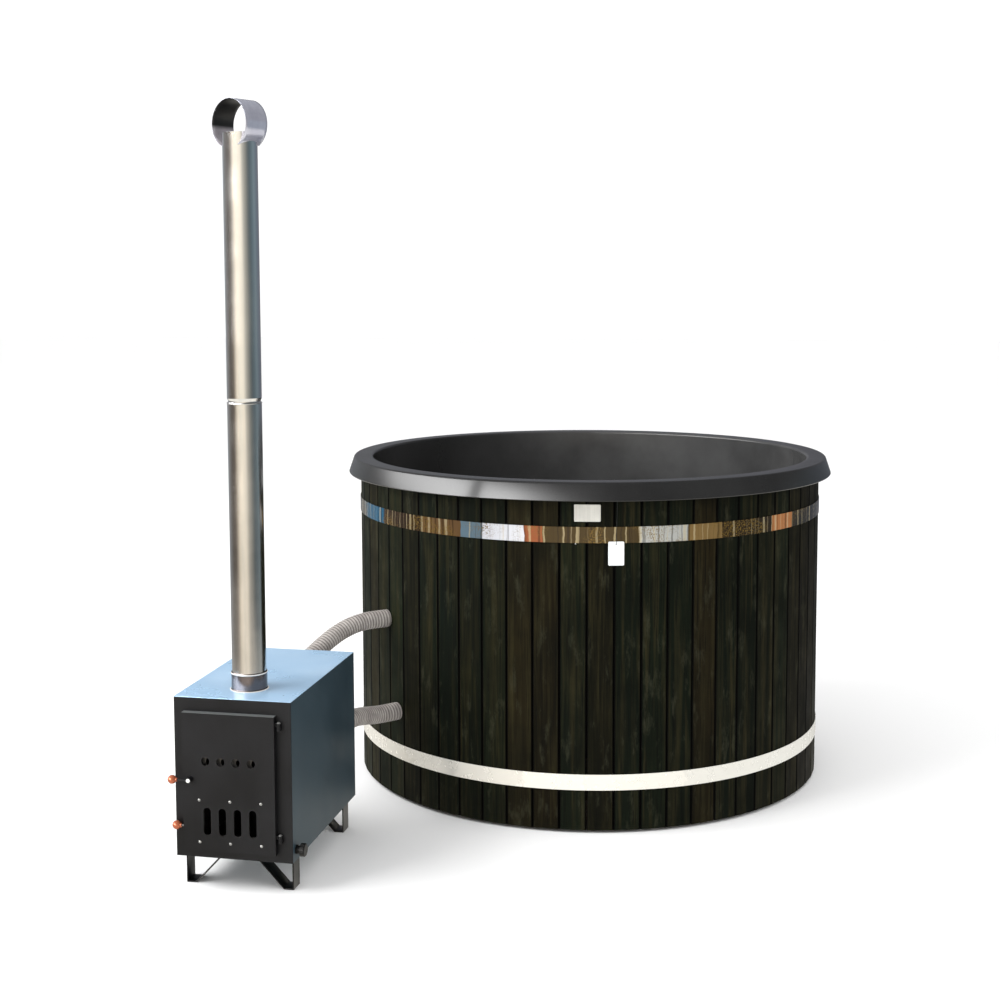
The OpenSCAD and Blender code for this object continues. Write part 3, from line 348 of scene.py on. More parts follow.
def boardIndex():
    # which board of a round wall a point is on, and how far across it, from the angle about the axis
    tree, given, out = newGroup("boardIndex", {"Position": (0.0, 0.0, 0.0), "Boards": 60.0, "Start": 0.0},
                                ("Chance", "Other Chance", "Across"))
    turn = plus(tree, sums(tree, "DIVIDE", turnOf(tree, given["Position"]), 2 * math.pi), 1.0)
    count = times(tree, sums(tree, "SUBTRACT", turn, sums(tree, "DIVIDE", given["Start"], 360.0)), given["Boards"])
    index = sums(tree, "FLOOR", count)
    for label, seed in (("Chance", index), ("Other Chance", plus(tree, index, 211.5))):
        draw = put(tree, "ShaderNodeTexWhiteNoise", {"W": seed}, noise_dimensions="1D")
        feed(tree, out[label], draw.outputs["Value"])
    feed(tree, out["Across"], sums(tree, "FRACT", count))
    return tree


wearGroup, timberGroup, boardGroup = surfaceWear(), timberFigure(), boardIndex()


def startMaterial(name, metal=0.0, shine=0.5, brushed=0.0):
    # a material with its own shader, and the place of each point on its object
    mat = bpy.data.materials.new(name)
    mat.use_nodes = True
    tree = mat.node_tree
    bsdf = tree.nodes["Principled BSDF"].inputs
    for key, value in (("Metallic", metal), ("Specular IOR Level", shine), ("Anisotropic", brushed)):
        bsdf[key].default_value = value
    return mat, tree, bsdf, put(tree, "ShaderNodeTexCoord").outputs["Object"]


def bumped(tree, bsdf, height, strength, distance):
    # small bumps from a height
    bump = put(tree, "ShaderNodeBump", {"Height": height, "Strength": strength, "Distance": distance})
    feed(tree, bsdf["Normal"], bump.outputs[0])


def wornMaterial(name, rough=None, cloud=3.0, streak=30.0, speck=500.0, streakShare=0.4, speckShare=0.3, bump=0.15,
                 depth=0.0004, **levels):
    # a material with small bumps of wear and, where rough is given, a gloss that drifts between two values
    mat, tree, bsdf, where = startMaterial(name, **levels)
    wear = put(tree, "ShaderNodeGroup", {
        "Position": where, "Cloud Scale": cloud, "Streak Scale": streak, "Speck Scale": speck, "Streak": streakShare,
        "Speck": speckShare}, node_tree=wearGroup).outputs
    if rough:
        feed(tree, bsdf["Roughness"], spread(tree, wear["Rough"], 0.0, 1.0, *rough))
    bumped(tree, bsdf, wear["Height"], bump, depth)
    return mat, tree, bsdf, where, wear


def drift(tree, share, dark, light):
    # a screen colour between two
    return blendColour(tree, share, tone(*dark), tone(*light))


def coated(name, dark, light, rough, metal=0.0, **more):
    # a painted, moulded or metal surface whose colour and gloss drift between two values
    mat, tree, bsdf, _, wear = wornMaterial(name, rough, metal=metal, **more)
    feed(tree, bsdf["Base Color"], drift(tree, wear["Tone"], dark, light))
    return mat


def timber(name, dark, light, along, band=22.0):
    # dry wood: dark and light bands along one direction, with slow dark blotches
    mat, tree, bsdf, where = startMaterial(name, shine=0.35)
    figure = put(tree, "ShaderNodeGroup", {"Position": where, "Along": along, "Fibre Scale": 160.0,
                                           "Band Scale": band}, node_tree=timberGroup).outputs
    base = drift(tree, figure["Band"], dark, light)
    feed(tree, bsdf["Base Color"], layered(tree, base, [(figure["Blotch"], 0.35, dark)]))
    feed(tree, bsdf["Roughness"], spread(tree, figure["Band"], 0.0, 1.0, 0.8, 0.6))
    bumped(tree, bsdf, figure["Height"], 0.5, 0.0006)
    return mat


staveSizes = {"count": 60.0, "start": 2.2}   # boards round the wall, and degrees to the first joint


def stainedWall(s):
    # near black stain: each board has its own tone, browner towards the right, under layers of late wood, pores,
    # blotches, worn places and dark joints
    mat, tree, bsdf, where = startMaterial("stainedWood", shine=0.04)
    board = put(tree, "ShaderNodeGroup", {"Position": where, "Boards": s["count"], "Start": s["start"]},
                node_tree=boardGroup).outputs
    figure = put(tree, "ShaderNodeGroup", {
        "Position": where, "Along": (1.0, 1.0, 0.035), "Fibre Scale": 190.0, "Band Scale": 52.0,
        "Seed": board["Chance"]}, node_tree=timberGroup).outputs
    aside = spread(tree, axesOf(tree, where)[0], -0.8, 0.8, -0.25, 0.2)
    browner = spread(tree, plus(tree, board["Other Chance"], aside), 0.4, 0.9)
    base = blendColour(tree, browner, drift(tree, board["Chance"], (9, 15, 10), (22, 28, 17)),
                       drift(tree, board["Chance"], (16, 13, 6), (31, 26, 13)))
    edge = sums(tree, "ABSOLUTE", plus(tree, board["Across"], -0.5))
    worn = spread(tree, noise(tree, where, 26.0, 6.0, 0.7, stretch=(1, 1, 0.3)), 0.56, 0.7)
    pores = spread(tree, figure["Fibre"], 0.36, 0.46, 1.0, 0.0)
    feed(tree, bsdf["Base Color"], layered(tree, base, [
        (spread(tree, figure["Band"], 0.35, 0.95), 0.75, (48, 44, 26)), (pores, 0.6, (8, 8, 6)),
        (figure["Blotch"], 0.6, (9, 11, 8)), (worn, 0.4, (62, 62, 48)),
        (spread(tree, edge, 0.42, 0.468), 1.0, (2, 2, 2))]))
    feed(tree, bsdf["Roughness"], spread(tree, figure["Blotch"], 0.0, 1.0, 0.46, 0.66))
    bumped(tree, bsdf, figure["Height"], 0.55, 0.0008)
    return mat


def polishedBand(name, paintedReflections, rough, lean, mottle):
    # polished band whose colour is painted reflection: upright patches of colour round the tub stand in for the
    # surroundings a mirror finish shows, under thin dark and light lines and brown specks in cloudy patches, painted
    # reflection too; a patch is (degrees where it starts, its colour)
    mat, tree, bsdf, where = startMaterial(name, metal=0.4)
    sway = times(tree, plus(tree, noise(tree, where, 24.0, 3.0), -0.5), lean)
    place = plus(tree, turnOf(tree, where), sway)
    thin = put(tree, "ShaderNodeTexNoise", {"W": times(tree, place, 55.0), "Scale": 1.0, "Detail": 3.0},
               noise_dimensions="1D").outputs[0]
    speck = spread(tree, noise(tree, where, 260.0, 3.0), 0.48, 0.64)
    paintedLightPatch = spread(tree, noise(tree, where, 9.0, 2.0), 0.46, 0.6)
    # painted reflections: the patches by angle, then the thin lines and the specks
    feed(tree, bsdf["Base Color"], layered(tree, ramp(tree, place, paintedReflections, True), [
        (spread(tree, thin, 0.56, 0.64), 0.45 * mottle, (44, 34, 24)),
        (spread(tree, thin, 0.42, 0.36), 0.4 * mottle, (206, 190, 150)),
        (times(tree, speck, paintedLightPatch), 0.8 * mottle, (126, 100, 46))]))
    feed(tree, bsdf["Roughness"], spread(tree, noise(tree, where, 40.0), 0.3, 0.7, *rough))
    bumped(tree, bsdf, noise(tree, where, 7.0, 2.0, stretch=(1, 1, 0.35)), 0.2, 0.003)
    return mat


def fluePipe(warmFrom, cleanFrom):
    # stainless pipe: brushed along its height, browner where the fire has warmed it
    mat, tree, bsdf, where, wear = wornMaterial("flueSteel", (0.13, 0.24), cloud=5.0, streak=90.0, speck=600.0,
                                                streakShare=0.5, speckShare=0.1, bump=0.06, metal=1.0, brushed=0.3)
    clean = drift(tree, wear["Tone"], (244, 246, 248), (255, 255, 255))
    warm = drift(tree, wear["Tone"], (196, 194, 192), (222, 218, 214))
    height = spread(tree, axesOf(tree, where)[2], warmFrom, cleanFrom)
    feed(tree, bsdf["Base Color"], blendColour(tree, height, warm, clean))
    return mat


def capPipe(s, f):
    # steel outside, smoked inside and nearly black above its middle; the distance from its axis tells which
    mat, tree, bsdf, where, wear = wornMaterial("capSteel", cloud=12.0, streak=60.0, bump=0.06)
    turnBy = math.radians(s["turn"])
    middle = (f["at"][0], f["at"][1], f["top"] + s["lift"])
    rel = vectorMath(tree, "SUBTRACT", where, middle)[0]
    u = vectorMath(tree, "DOT_PRODUCT", rel, (math.cos(turnBy), math.sin(turnBy), 0.0))["Value"]
    w = axesOf(tree, rel)[2]
    far = sums(tree, "SQRT", plus(tree, times(tree, u, u), times(tree, w, w)))
    inside = spread(tree, far, s["r"] - 0.00065, s["r"] - 0.00085)
    smoked = drift(tree, wear["Tone"], (146, 142, 148), (178, 172, 178))
    sooty = drift(tree, wear["Tone"], (24, 24, 24), (40, 39, 38))
    inner = blendColour(tree, spread(tree, w, -0.012, 0.0), smoked, sooty)
    steel = drift(tree, wear["Tone"], (180, 182, 197), (210, 211, 221))
    feed(tree, bsdf["Base Color"], blendColour(tree, inside, steel, inner))
    feed(tree, bsdf["Roughness"], spread(tree, inside, 0.0, 1.0, 0.16, 0.42))
    feed(tree, bsdf["Metallic"], spread(tree, inside, 0.0, 1.0, 0.6, 0.15))
    return mat


def collarPipe(f):
    # heat tinted collar with painted highlights: a bright white ring on the weld bead near its top and a pale line at
    # its foot
    mat, tree, bsdf, where, wear = wornMaterial("collarSteel", cloud=8.0, streak=70.0, streakShare=0.5, speckShare=0.2,
                                                bump=0.06)
    height, top = axesOf(tree, where)[2], f["base"] + f["collar"]
    # painted highlights: thin white rings on the bead and at the foot
    beadHighlight = times(tree, spread(tree, height, top - 0.0058, top - 0.0050),
                 spread(tree, height, top - 0.0014, top - 0.0022))
    bright = sums(tree, "MAXIMUM", beadHighlight, spread(tree, height, f["base"] + 0.0030, f["base"] + 0.0020))
    sides = drift(tree, wear["Tone"], (104, 98, 100), (136, 126, 124))
    feed(tree, bsdf["Base Color"], blendColour(tree, bright, sides, tone(244, 242, 238)))
    feed(tree, bsdf["Roughness"], spread(tree, bright, 0.0, 1.0, 0.2, 0.4))
    feed(tree, bsdf["Metallic"], spread(tree, bright, 0.0, 1.0, 0.9, 0.3))
    return mat


# where the painted light on the liner's upper inside wall fades in, from none to full
paintedLightSizes = {"radius": (0.774, 0.766), "height": (0.55, 1.0), "aside": (-0.62, -0.05)}   # from bare to full, metres


def linerPlastic(s):
    # dark moulded plastic with painted light: a faint pale patch on the upper inside wall, fading out towards the left
    mat, tree, bsdf, where, wear = wornMaterial("linerPlastic", (0.17, 0.25), cloud=2.2, streak=9.0, speck=260.0,
                                                streakShare=0.2, speckShare=0.25, bump=0.12, depth=0.0005, shine=0.42)
    xyz = axesOf(tree, where)
    flat = put(tree, "ShaderNodeCombineXYZ", {0: xyz[0], 1: xyz[1]}).outputs[0]
    away = vectorMath(tree, "LENGTH", flat)["Value"]
    uneven = spread(tree, noise(tree, where, 3.5, 4.0, 0.6), 0.3, 0.62, 0.45, 1.0)
    # painted light on the upper inside wall, strongest towards the right
    paintedLightPatch = times(tree, spread(tree, away, *s["radius"]), spread(tree, xyz[2], *s["height"]),
                 spread(tree, xyz[0], *s["aside"]), uneven)
    base = drift(tree, wear["Tone"], (30, 30, 30), (44, 44, 44))
    feed(tree, bsdf["Base Color"], blendColour(tree, paintedLightPatch, base, tone(76, 76, 76)))
    return mat


blackWear = {"cloud": 6.0, "streak": 18.0, "speck": 700.0, "streakShare": 0.25, "speckShare": 0.45, "bump": 0.25,
             "depth": 0.0003, "shine": 0.22}


def doorPaint():
    # the black paint of the front, with a painted highlight: a lighter line along the door's top edge
    mat, tree, bsdf, where, wear = wornMaterial("doorPaint", (0.38, 0.52), **blackWear)
    top = float(coords(bpy.data.objects["door_panel"].data)[:, 2].max())
    # painted highlight along the top edge of the door
    edge = spread(tree, axesOf(tree, where)[2], top - 0.0015, top - 0.0008)
    paint = drift(tree, wear["Tone"], (13, 13, 15), (24, 24, 26))
    feed(tree, bsdf["Base Color"], blendColour(tree, edge, paint, tone(88, 91, 91)))
    return mat


def ribbedPlastic():
    # grey plastic with painted shade: darker down in the grooves between the ribs
    mat, tree, bsdf, _, wear = wornMaterial("hosePlastic", (0.45, 0.6), cloud=30.0, streak=60.0, speck=900.0,
                                            streakShare=0.3, speckShare=0.6, bump=0.3, shine=0.35)
    # depth in the grooves, which darkens the plastic there as painted shade
    deep = put(tree, "ShaderNodeAttribute", attribute_name="groove").outputs["Fac"]
    light = drift(tree, wear["Tone"], (156, 150, 146), (196, 190, 184))
    feed(tree, bsdf["Base Color"], layered(tree, light, [(deep, 0.8, (74, 66, 64))]))
    return mat


finish = {
    "stained_wood": stainedWall(staveSizes),
    "timber": timber("bearerTimber", (96, 74, 50), (150, 122, 88), (1.0, 0.04, 1.0)),
    "plywood": timber("deckPlywood", (120, 92, 60), (168, 138, 98), (0.06, 1.0, 1.0), band=14.0),
    "liner_plastic": linerPlastic(paintedLightSizes),
    "black_plastic": coated("blackPlastic", (6, 6, 6), (14, 14, 14), (0.35, 0.5), speck=300.0, shine=0.3),
    "pale_plastic": coated("palePlastic", (196, 196, 190), (220, 220, 214), (0.35, 0.5), speck=200.0),
    "black_paint": coated("blackPaint", (13, 13, 15), (24, 24, 26), (0.38, 0.52), **blackWear),
    "foot_paint": coated("footPaint", (5, 5, 6), (13, 13, 14), (0.3, 0.45), cloud=9.0, speck=700.0, shine=0.25),
    "door_paint": doorPaint(),
    # dark blue-grey painted into the casing's colour: the dark paint, with painted reflection of sky and surroundings
    # in its gloss
    "casing_paint": coated("casingPaint", (46, 62, 71), (57, 73, 82), (0.46, 0.56), 0.2, cloud=4.0, streak=14.0,
                           speck=650.0, streakShare=0.3, bump=0.12, depth=0.0003, shine=0.35),
    # light blue painted into the top's colour stands in for the sky reflected in it: painted reflection
    "top_sheet": coated("topSheet", (166, 204, 236), (186, 216, 242), (0.24, 0.36), 0.35, cloud=5.0, streak=20.0,
                        speck=420.0, streakShare=0.15, speckShare=0.35, bump=0.06, depth=0.0003),
    "jacket_steel": coated("jacketSteel", (92, 90, 88), (132, 130, 126), (0.4, 0.6), 0.9),
    "grate_iron": coated("grateIron", (52, 48, 46), (86, 78, 72), (0.6, 0.8), 0.6, speck=350.0, bump=0.5),
    "zinc": coated("zinc", (176, 178, 182), (212, 214, 216), (0.25, 0.42), 1.0, cloud=30.0),
    "pipe_steel": coated("pipeSteel", (186, 186, 184), (216, 216, 212), (0.18, 0.3), 1.0, cloud=20.0),
    "valve_brass": coated("valveBrass", (186, 150, 84), (212, 180, 112), (0.25, 0.4), 1.0, cloud=30.0),
    "lever_enamel": coated("leverEnamel", (140, 26, 24), (168, 36, 32), (0.25, 0.38)),
    "rivet_alloy": coated("rivetAlloy", (128, 128, 126), (166, 166, 162), (0.25, 0.4), 0.5, cloud=60.0),
    "latch_cap": coated("latchCap", (226, 226, 220), (244, 244, 240), (0.3, 0.4), cloud=60.0),
    "plate_alloy": coated("plateAlloy", (196, 197, 194), (216, 216, 212), (0.32, 0.42), 0.5, cloud=14.0, streak=200.0,
                          streakShare=0.6),
    "tag_card": coated("tagCard", (228, 231, 232), (242, 244, 244), (0.4, 0.5), cloud=40.0, speck=700.0),
    "cord_fibre": coated("cordFibre", (20, 20, 20), (36, 36, 36), (0.7, 0.85), cloud=80.0, speck=2400.0,
                         speckShare=0.9, bump=0.6),
    "copper_ball": coated("copperBall", (156, 80, 52), (188, 108, 76), (0.16, 0.28), 0.4, cloud=60.0, streakShare=0.1,
                          speckShare=0.2, bump=0.05),
    "seal_rope": coated("sealRope", (170, 165, 150), (206, 200, 186), (0.85, 0.95), speck=900.0, speckShare=0.9,
                        bump=0.9, depth=0.001),
    "hose_plastic": ribbedPlastic(),
    "flue_steel": fluePipe(0.65, 1.9),
    # colours painted round the upper hoop as reflections of its surroundings
    "hoop_steel": polishedBand("hoopUpper", [
        (-180, (90, 84, 70)), (-152, (30, 90, 120)), (-138, (60, 46, 34)), (-123, (108, 82, 54)),
        (-112, (104, 126, 140)), (-106, (222, 226, 236)), (-97, (152, 86, 54)), (-92, (70, 56, 30)),
        (-71, (186, 188, 184)), (-60, (134, 108, 66)), (-52, (50, 40, 28)), (-36, (180, 118, 70)),
        (-28, (44, 36, 26)), (0, (104, 88, 60))], (0.06, 0.14), lean=0.014, mottle=1.25),
    # pale colours painted round the lower hoop stand in for the pale floor reflected in it: painted reflection
    "hoop_pale": polishedBand("hoopLower", [
        (-180, (226, 222, 212)), (-128, (236, 233, 225)), (-96, (246, 243, 235)), (-60, (238, 236, 229)),
        (20, (228, 225, 216))], (0.2, 0.3), lean=0.3, mottle=0.04),
}
print("materials made:", len(finish))

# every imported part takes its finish; pieces made further down replace some of them
nodesOf = {
    "timber": "bearers", "plywood": "floor_deck", "stained_wood": "staves", "hoop_steel": "upper_hoop",
    "hoop_pale": "lower_hoop", "zinc": "hoop_bolts fitting_nuts hose_clamps",
    "liner_plastic": "liner_rim liner_skirt liner_wall liner_seat liner_well liner_floor",
    "pipe_steel": "hot_inlet cold_outlet floor_drain jacket_pipes",
    "black_plastic": "port_screens drain_stub drain_cap", "pale_plastic": "drain_pipe", "valve_brass": "valve_body",
    "lever_enamel": "valve_lever", "casing_paint": "casing", "top_sheet": "top_plate", "foot_paint": "strap_feet",
    "black_paint": "front_frame hinge_brackets door_panel hinge_lugs latch_lever", "grate_iron": "fire_grate",
    "jacket_steel": "jacket_sides jacket_back jacket_roof ash_floor grate_ledges door_baffle damper_guides"
                    " damper_plate",
    "flue_steel": "flue_collar lower_flue upper_flue chimney_cap", "rivet_alloy": "hinge_pins door_rivets",
    "seal_rope": "door_seal", "copper_ball": "damper_knob latch_knob", "hose_plastic": "hot_hose cold_hose"}
for key, nodes in nodesOf.items():
    for node in nodes.split():
        data = bpy.data.objects[node].data
        data.materials.clear()
        data.materials.append(finish[key])

# tub
linerNodes = nodesOf["liner_plastic"].split()
linerSizes = {"wall": 0.762, "sheet": 0.006, "rimTop": 0.830, "rimLip": 0.846, "band": 0.056, "top": 1.100,
              "edge": 0.008, "floor": 0.119, "deck": 0.113, "seatTop": 0.540, "seatFront": 0.402, "cove": 0.020,
              "foot": 0.012, "middle": 0.20, "join": 0.620, "bayTop": 0.560, "bayFoot": 0.30, "bayUnder": 0.05,
              "bayTurn": -134.0, "bayWide": 60.0, "blend": 1.0, "fine": 1.2}


def mouldedLiner(s):
    # two sections, with the seat and without it, blended by angle round the tub
    low, wall, back, c, f = s["top"] - s["band"], s["wall"], s["wall"] + s["sheet"], s["cove"], s["foot"]
    e, t = s["edge"], s["sheet"]
    rim = np.concatenate([
        [[s["rimLip"] - 0.0015, low], [s["rimLip"], low + 0.002], [s["rimLip"] - 0.0005, low + 0.004]],
        arc(s["rimTop"] - e, s["top"] - e, e, 15, 90, 8), arc(wall + e, s["top"] - e, e, 90, 180, 8),
        [[wall, s["join"]]]])
    seat = np.concatenate([
        arc(wall - c, s["seatTop"] + c, c, 0, -90, 8), arc(s["seatFront"] + c, s["seatTop"] - c, c, 90, 180, 8),
        arc(s["seatFront"] - f, s["floor"] + f, f, 0, -90, 8)])
    bay = np.concatenate([
        np.linspace((wall, s["bayTop"]), (wall, s["bayFoot"]), 8), arc(wall - f, s["floor"] + f, f, 0, -90, 8),
        np.linspace((wall - 2 * f, s["floor"]), (s["seatFront"] - f, s["floor"]), 8)])
    middle = np.array([[s["middle"], s["floor"]], [0.0, s["floor"]], [0.0, s["deck"]], [s["middle"], s["deck"]]])
    seatUnder = np.array([[s["seatFront"] + t, s["deck"]], [s["seatFront"] + t, s["seatTop"] - t],
                          [back, s["seatTop"] - t]])
    bayUnder = np.array([[back - s["bayUnder"], s["deck"]], [back, s["deck"]], [back, s["seatTop"] - t]])
    skirt = np.array([[back, s["top"] - t], [s["rimTop"] - 0.010, s["top"] - t], [s["rimTop"] - t, s["top"] - 0.010],
                      [s["rimLip"] - t, low], [s["rimLip"] - 0.0015, low]])
    withSeat = np.concatenate([rim, seat, middle, seatUnder, skirt])
    without = np.concatenate([rim, bay, middle, bayUnder, skirt])
    half = s["bayWide"] / 2
    fine = np.linspace(half - s["fine"], half + s["fine"], 13)
    deg = np.unique(np.round(np.concatenate([np.arange(-180, 180, 1.0), fine, -fine]), 4))
    share = np.clip((np.abs(deg) - (half - s["blend"])) / (2 * s["blend"]), 0, 1)
    share = (share * share * (3 - 2 * share))[:, None, None]
    rz = withSeat * share + without * (1 - share)
    a = np.radians(deg + s["bayTurn"])[:, None]
    pts = np.stack([rz[..., 0] * np.cos(a), rz[..., 0] * np.sin(a), rz[..., 1]], -1)
    build("mouldedLiner", [grid(pts, closeU=True)], finish["liner_plastic"], "tub", linerNodes, 40)


mouldedLiner(linerSizes)

hoopSizes = {"band": 0.8065, "thick": 0.0015, "wide": 0.050, "earGap": 0.012, "earOut": 0.0255, "earThick": 0.003,
             "high": 0.911, "low": 0.137, "bend": 0.005, "corner": 0.0004}


def hoopBand(name, z0, mat, node, s):
    # plan path: out along one ear, round the wall, out along the other; a thin upright section follows it
    r = s["band"] + s["thick"] / 2
    x = s["earGap"] + s["earThick"] / 2
    gap = math.degrees(math.asin((x + s["bend"]) / r))
    y0 = math.sqrt(r * r - (x + s["bend"]) ** 2)
    bent = arc(-x - s["bend"], y0 + s["bend"], s["bend"], 0, -90 + gap, 7)
    left = np.concatenate([np.linspace((-x, y0 + s["earOut"]), (-x, y0 + s["bend"] + 0.001), 4), bent])
    path = np.concatenate([left, arc(0.0, 0.0, r, 90 + gap, 450 - gap, 481), left[::-1] * [-1, 1]])
    path = path[np.r_[True, stepsOf(path) > 1e-5]]
    run = unit(np.gradient(path, axis=0))
    out = np.stack([run[:, 1], -run[:, 0]], 1)
    far = np.maximum(np.hypot(path[:, 0], path[:, 1]) - r - 0.002, 0) / 0.004
    thick = s["thick"] + (s["earThick"] - s["thick"]) * np.clip(far, 0, 1) * (path[:, 1] > 0)
    c, w = s["corner"], s["wide"]
    section = np.array([[-0.5, c], [-0.5, w - c], [-0.25, w], [0.25, w], [0.5, w - c], [0.5, c], [0.25, 0],
                        [-0.25, 0]])
    n = len(section)
    pts = np.zeros((len(path), n, 3))
    pts[..., :2] = path[:, None] + out[:, None] * (section[:, 0] * thick[:, None])[..., None]
    pts[..., 2] = z0 + section[:, 1]
    ends = [(pts[0], np.arange(n)[::-1][None]), (pts[-1], np.arange(n)[None])]
    build(name, [grid(pts, closeV=True)] + ends, mat, "tub", [node], 40)


hoopBand("upperHoopBand", hoopSizes["high"], finish["hoop_steel"], "upper_hoop", hoopSizes)
hoopBand("lowerHoopBand", hoopSizes["low"], finish["hoop_pale"], "lower_hoop", hoopSizes)

plateSizes = {"turn": -81.8, "aside": 0.0014, "wide": 0.081, "high": (0.977, 1.030), "thick": 0.0012,
              "corner": 0.003, "out": 0.8061}
tagSizes = {"turn": -75.45, "wide": 0.049, "high": (0.842, 0.916), "thick": 0.0009, "corner": 0.004, "out": 0.8084,
            "hole": 0.0022, "holeDown": 0.008, "cord": 0.0014, "under": 1.0933, "aside": 0.004, "sag": 0.0011,
            "loop": (0.0017, 0.002)}
screwSizes = {"turn": -84.25, "z": 0.908, "r": 0.0026, "high": 0.0012, "wall": 0.805}


def roundedSheet(s, hole=None, steps=7):
    # outline of a rounded rectangle as a closed ring, front and back, round a hole if one is asked for
    (low, high), wide, thick = s["high"], s["wide"], s["thick"]
    half, mid, up = wide / 2 - s["corner"], (low + high) / 2, (high - low) / 2 - s["corner"]
    ring = np.concatenate([arc(sx * half, mid + sz * up, s["corner"], a, a + 90, steps)
                           for sx, sz, a in ((1, 1, 0), (-1, 1, 90), (-1, -1, 180), (1, -1, 270))])
    inner = np.zeros_like(ring) + [0.0, mid]
    if hole:
        a = np.arctan2(ring[:, 1] - hole[1], ring[:, 0] - hole[0])
        inner = np.stack([hole[0] + hole[2] * np.cos(a), hole[1] + hole[2] * np.sin(a)], 1)
    e = thick * 0.3
    small = (ring - [0, mid]) * [1 - 2 * e / wide, 1 - 2 * e / (high - low)] + [0, mid]
    rows = [(inner, thick), (small, thick), (ring, thick - e), (ring, 0.0), (inner, 0.0)]
    rows += [(inner, thick)] if hole else []
    return np.stack([np.stack([r[:, 0], np.full(len(r), d), r[:, 1]], 1) for r, d in rows])


def onTub(points, turn, out):
    # x runs to the right seen from outside, y outwards from the wall's flat, z up
    a = math.radians(turn)
    across, away = np.array([-math.sin(a), math.cos(a), 0.0]), np.array([math.cos(a), math.sin(a), 0.0])
    return points[..., :1] * across + (points[..., 1:2] + out) * away + points[..., 2:] * np.array([0.0, 0.0, 1.0])


def sheetPiece(name, pts, s, mat):
    # a thin sheet that stands in front of the wall
    build(name, [grid(onTub(pts, s["turn"], s["out"]), closeV=True)], mat, "tub", sharp=35)


def wallPlate(s):
    # small blank plate, a little to the right of its stave's middle
    pts = roundedSheet(s)
    pts[..., 0] += s["aside"]
    sheetPiece("blankPlate", pts, s, finish["plate_alloy"])


def tagOnCord(s, count=10):
    # small blank card on a thin cord, which runs from under the rim in front of the upper hoop, and through its hole
    top = s["high"][1] - s["holeDown"]
    sheetPiece("blankTag", roundedSheet(s, (0.0, top, s["hole"])), s, finish["tag_card"])
    deep, tall = s["loop"]
    down = np.linspace(0, 1, 60)[:, None]
    fall = np.array([s["aside"], 0.0, s["under"]]) * (1 - down) + np.array([0.0, deep, top + tall]) * down
    fall[:, 1] += s["sag"] * np.sin(np.pi * down[:, 0])
    loop = np.stack([np.zeros(9), deep * np.cos(np.linspace(0, np.pi, 9)),
                     top + tall * np.cos(np.linspace(0, 2.6, 9))], 1)[1:]
    path = onTub(np.concatenate([fall, loop]), s["turn"], s["out"] + s["thick"] / 2)
    a = math.radians(s["turn"])
    ring, _ = ringsAlong(path, count, (-math.sin(a), math.cos(a), 0.0))
    closed = np.concatenate([np.repeat(path[:1, None], count, 1), path[:, None] + s["cord"] / 2 * ring,
                             np.repeat(path[-1:, None], count, 1)])
    cord = build("tagCord", [grid(closed[:, ::-1], closeV=True)], finish["cord_fibre"], "tub", sharp=60)


def hoopScrew(s):
    # domed screw head on the wall
    a = math.radians(s["turn"])
    out = np.array([math.cos(a), math.sin(a), 0.0])
    build("hoopScrew", [dome(s["wall"] * out + (0.0, 0.0, s["z"]), out, s["r"], s["high"])], finish["rivet_alloy"],
          "tub", sharp=50)


wallPlate(plateSizes)
tagOnCord(tagSizes)
hoopScrew(screwSizes)
print("tub dressed")

# hoses: each port is (x, z, degrees of turn and of rise, distance to the hose), each tub end (direction, z)
hoseSizes = {"outer": 0.0292, "bore": 0.0262, "rib": 0.0016, "pitch": 0.0105, "grip": 0.052, "past": 0.007,
             "wallEnd": 0.80641, "wall": 0.805, "back": -0.850, "points": 480, "cuff": 0.002}
hotRun = {"port": (-0.790, 0.497, 25.0, 25.0, 0.027), "tub": (-136.8, 0.596)}
coldRun = {"port": (-0.666, 0.314, 14.0, 0.0, 0.014), "tub": (-132.4, 0.296)}


def hoseLine(run, s):
    # straight off the port, one smooth bend, straight onto the pipe in the wall
    px, pz, turnBy, rise, away = run["port"]
    t, e, d = math.radians(turnBy), math.radians(rise), math.radians(run["tub"][0])
    a = np.array([math.sin(t) * math.cos(e), math.cos(t) * math.cos(e), math.sin(e)])
    b = np.array([math.cos(d), math.sin(d), 0.0])
    foot, top = np.array([px, s["back"], pz]), np.array([0, 0, run["tub"][1]])
    p1 = foot + (away + s["grip"] + s["past"]) * a
    p4 = top + (s["wall"] + s["grip"] + s["past"]) * b
    h = np.linalg.norm(p4 - p1) * 0.35
    k = np.linspace(0, 1, 400)[:, None]
    bend = ((1 - k) ** 3 * p1 + 3 * (1 - k) ** 2 * k * (p1 + h * a) + 3 * (1 - k) * k * k * (p4 + h * b)
            + k ** 3 * p4)
    rough = np.concatenate([[foot + away * a], bend, [top + s["wallEnd"] * b]])
    step = np.r_[0, np.cumsum(stepsOf(rough))]
    at = np.linspace(0, step[-1], s["points"])
    return np.stack([np.interp(at, step, rough[:, i]) for i in range(3)], 1), at


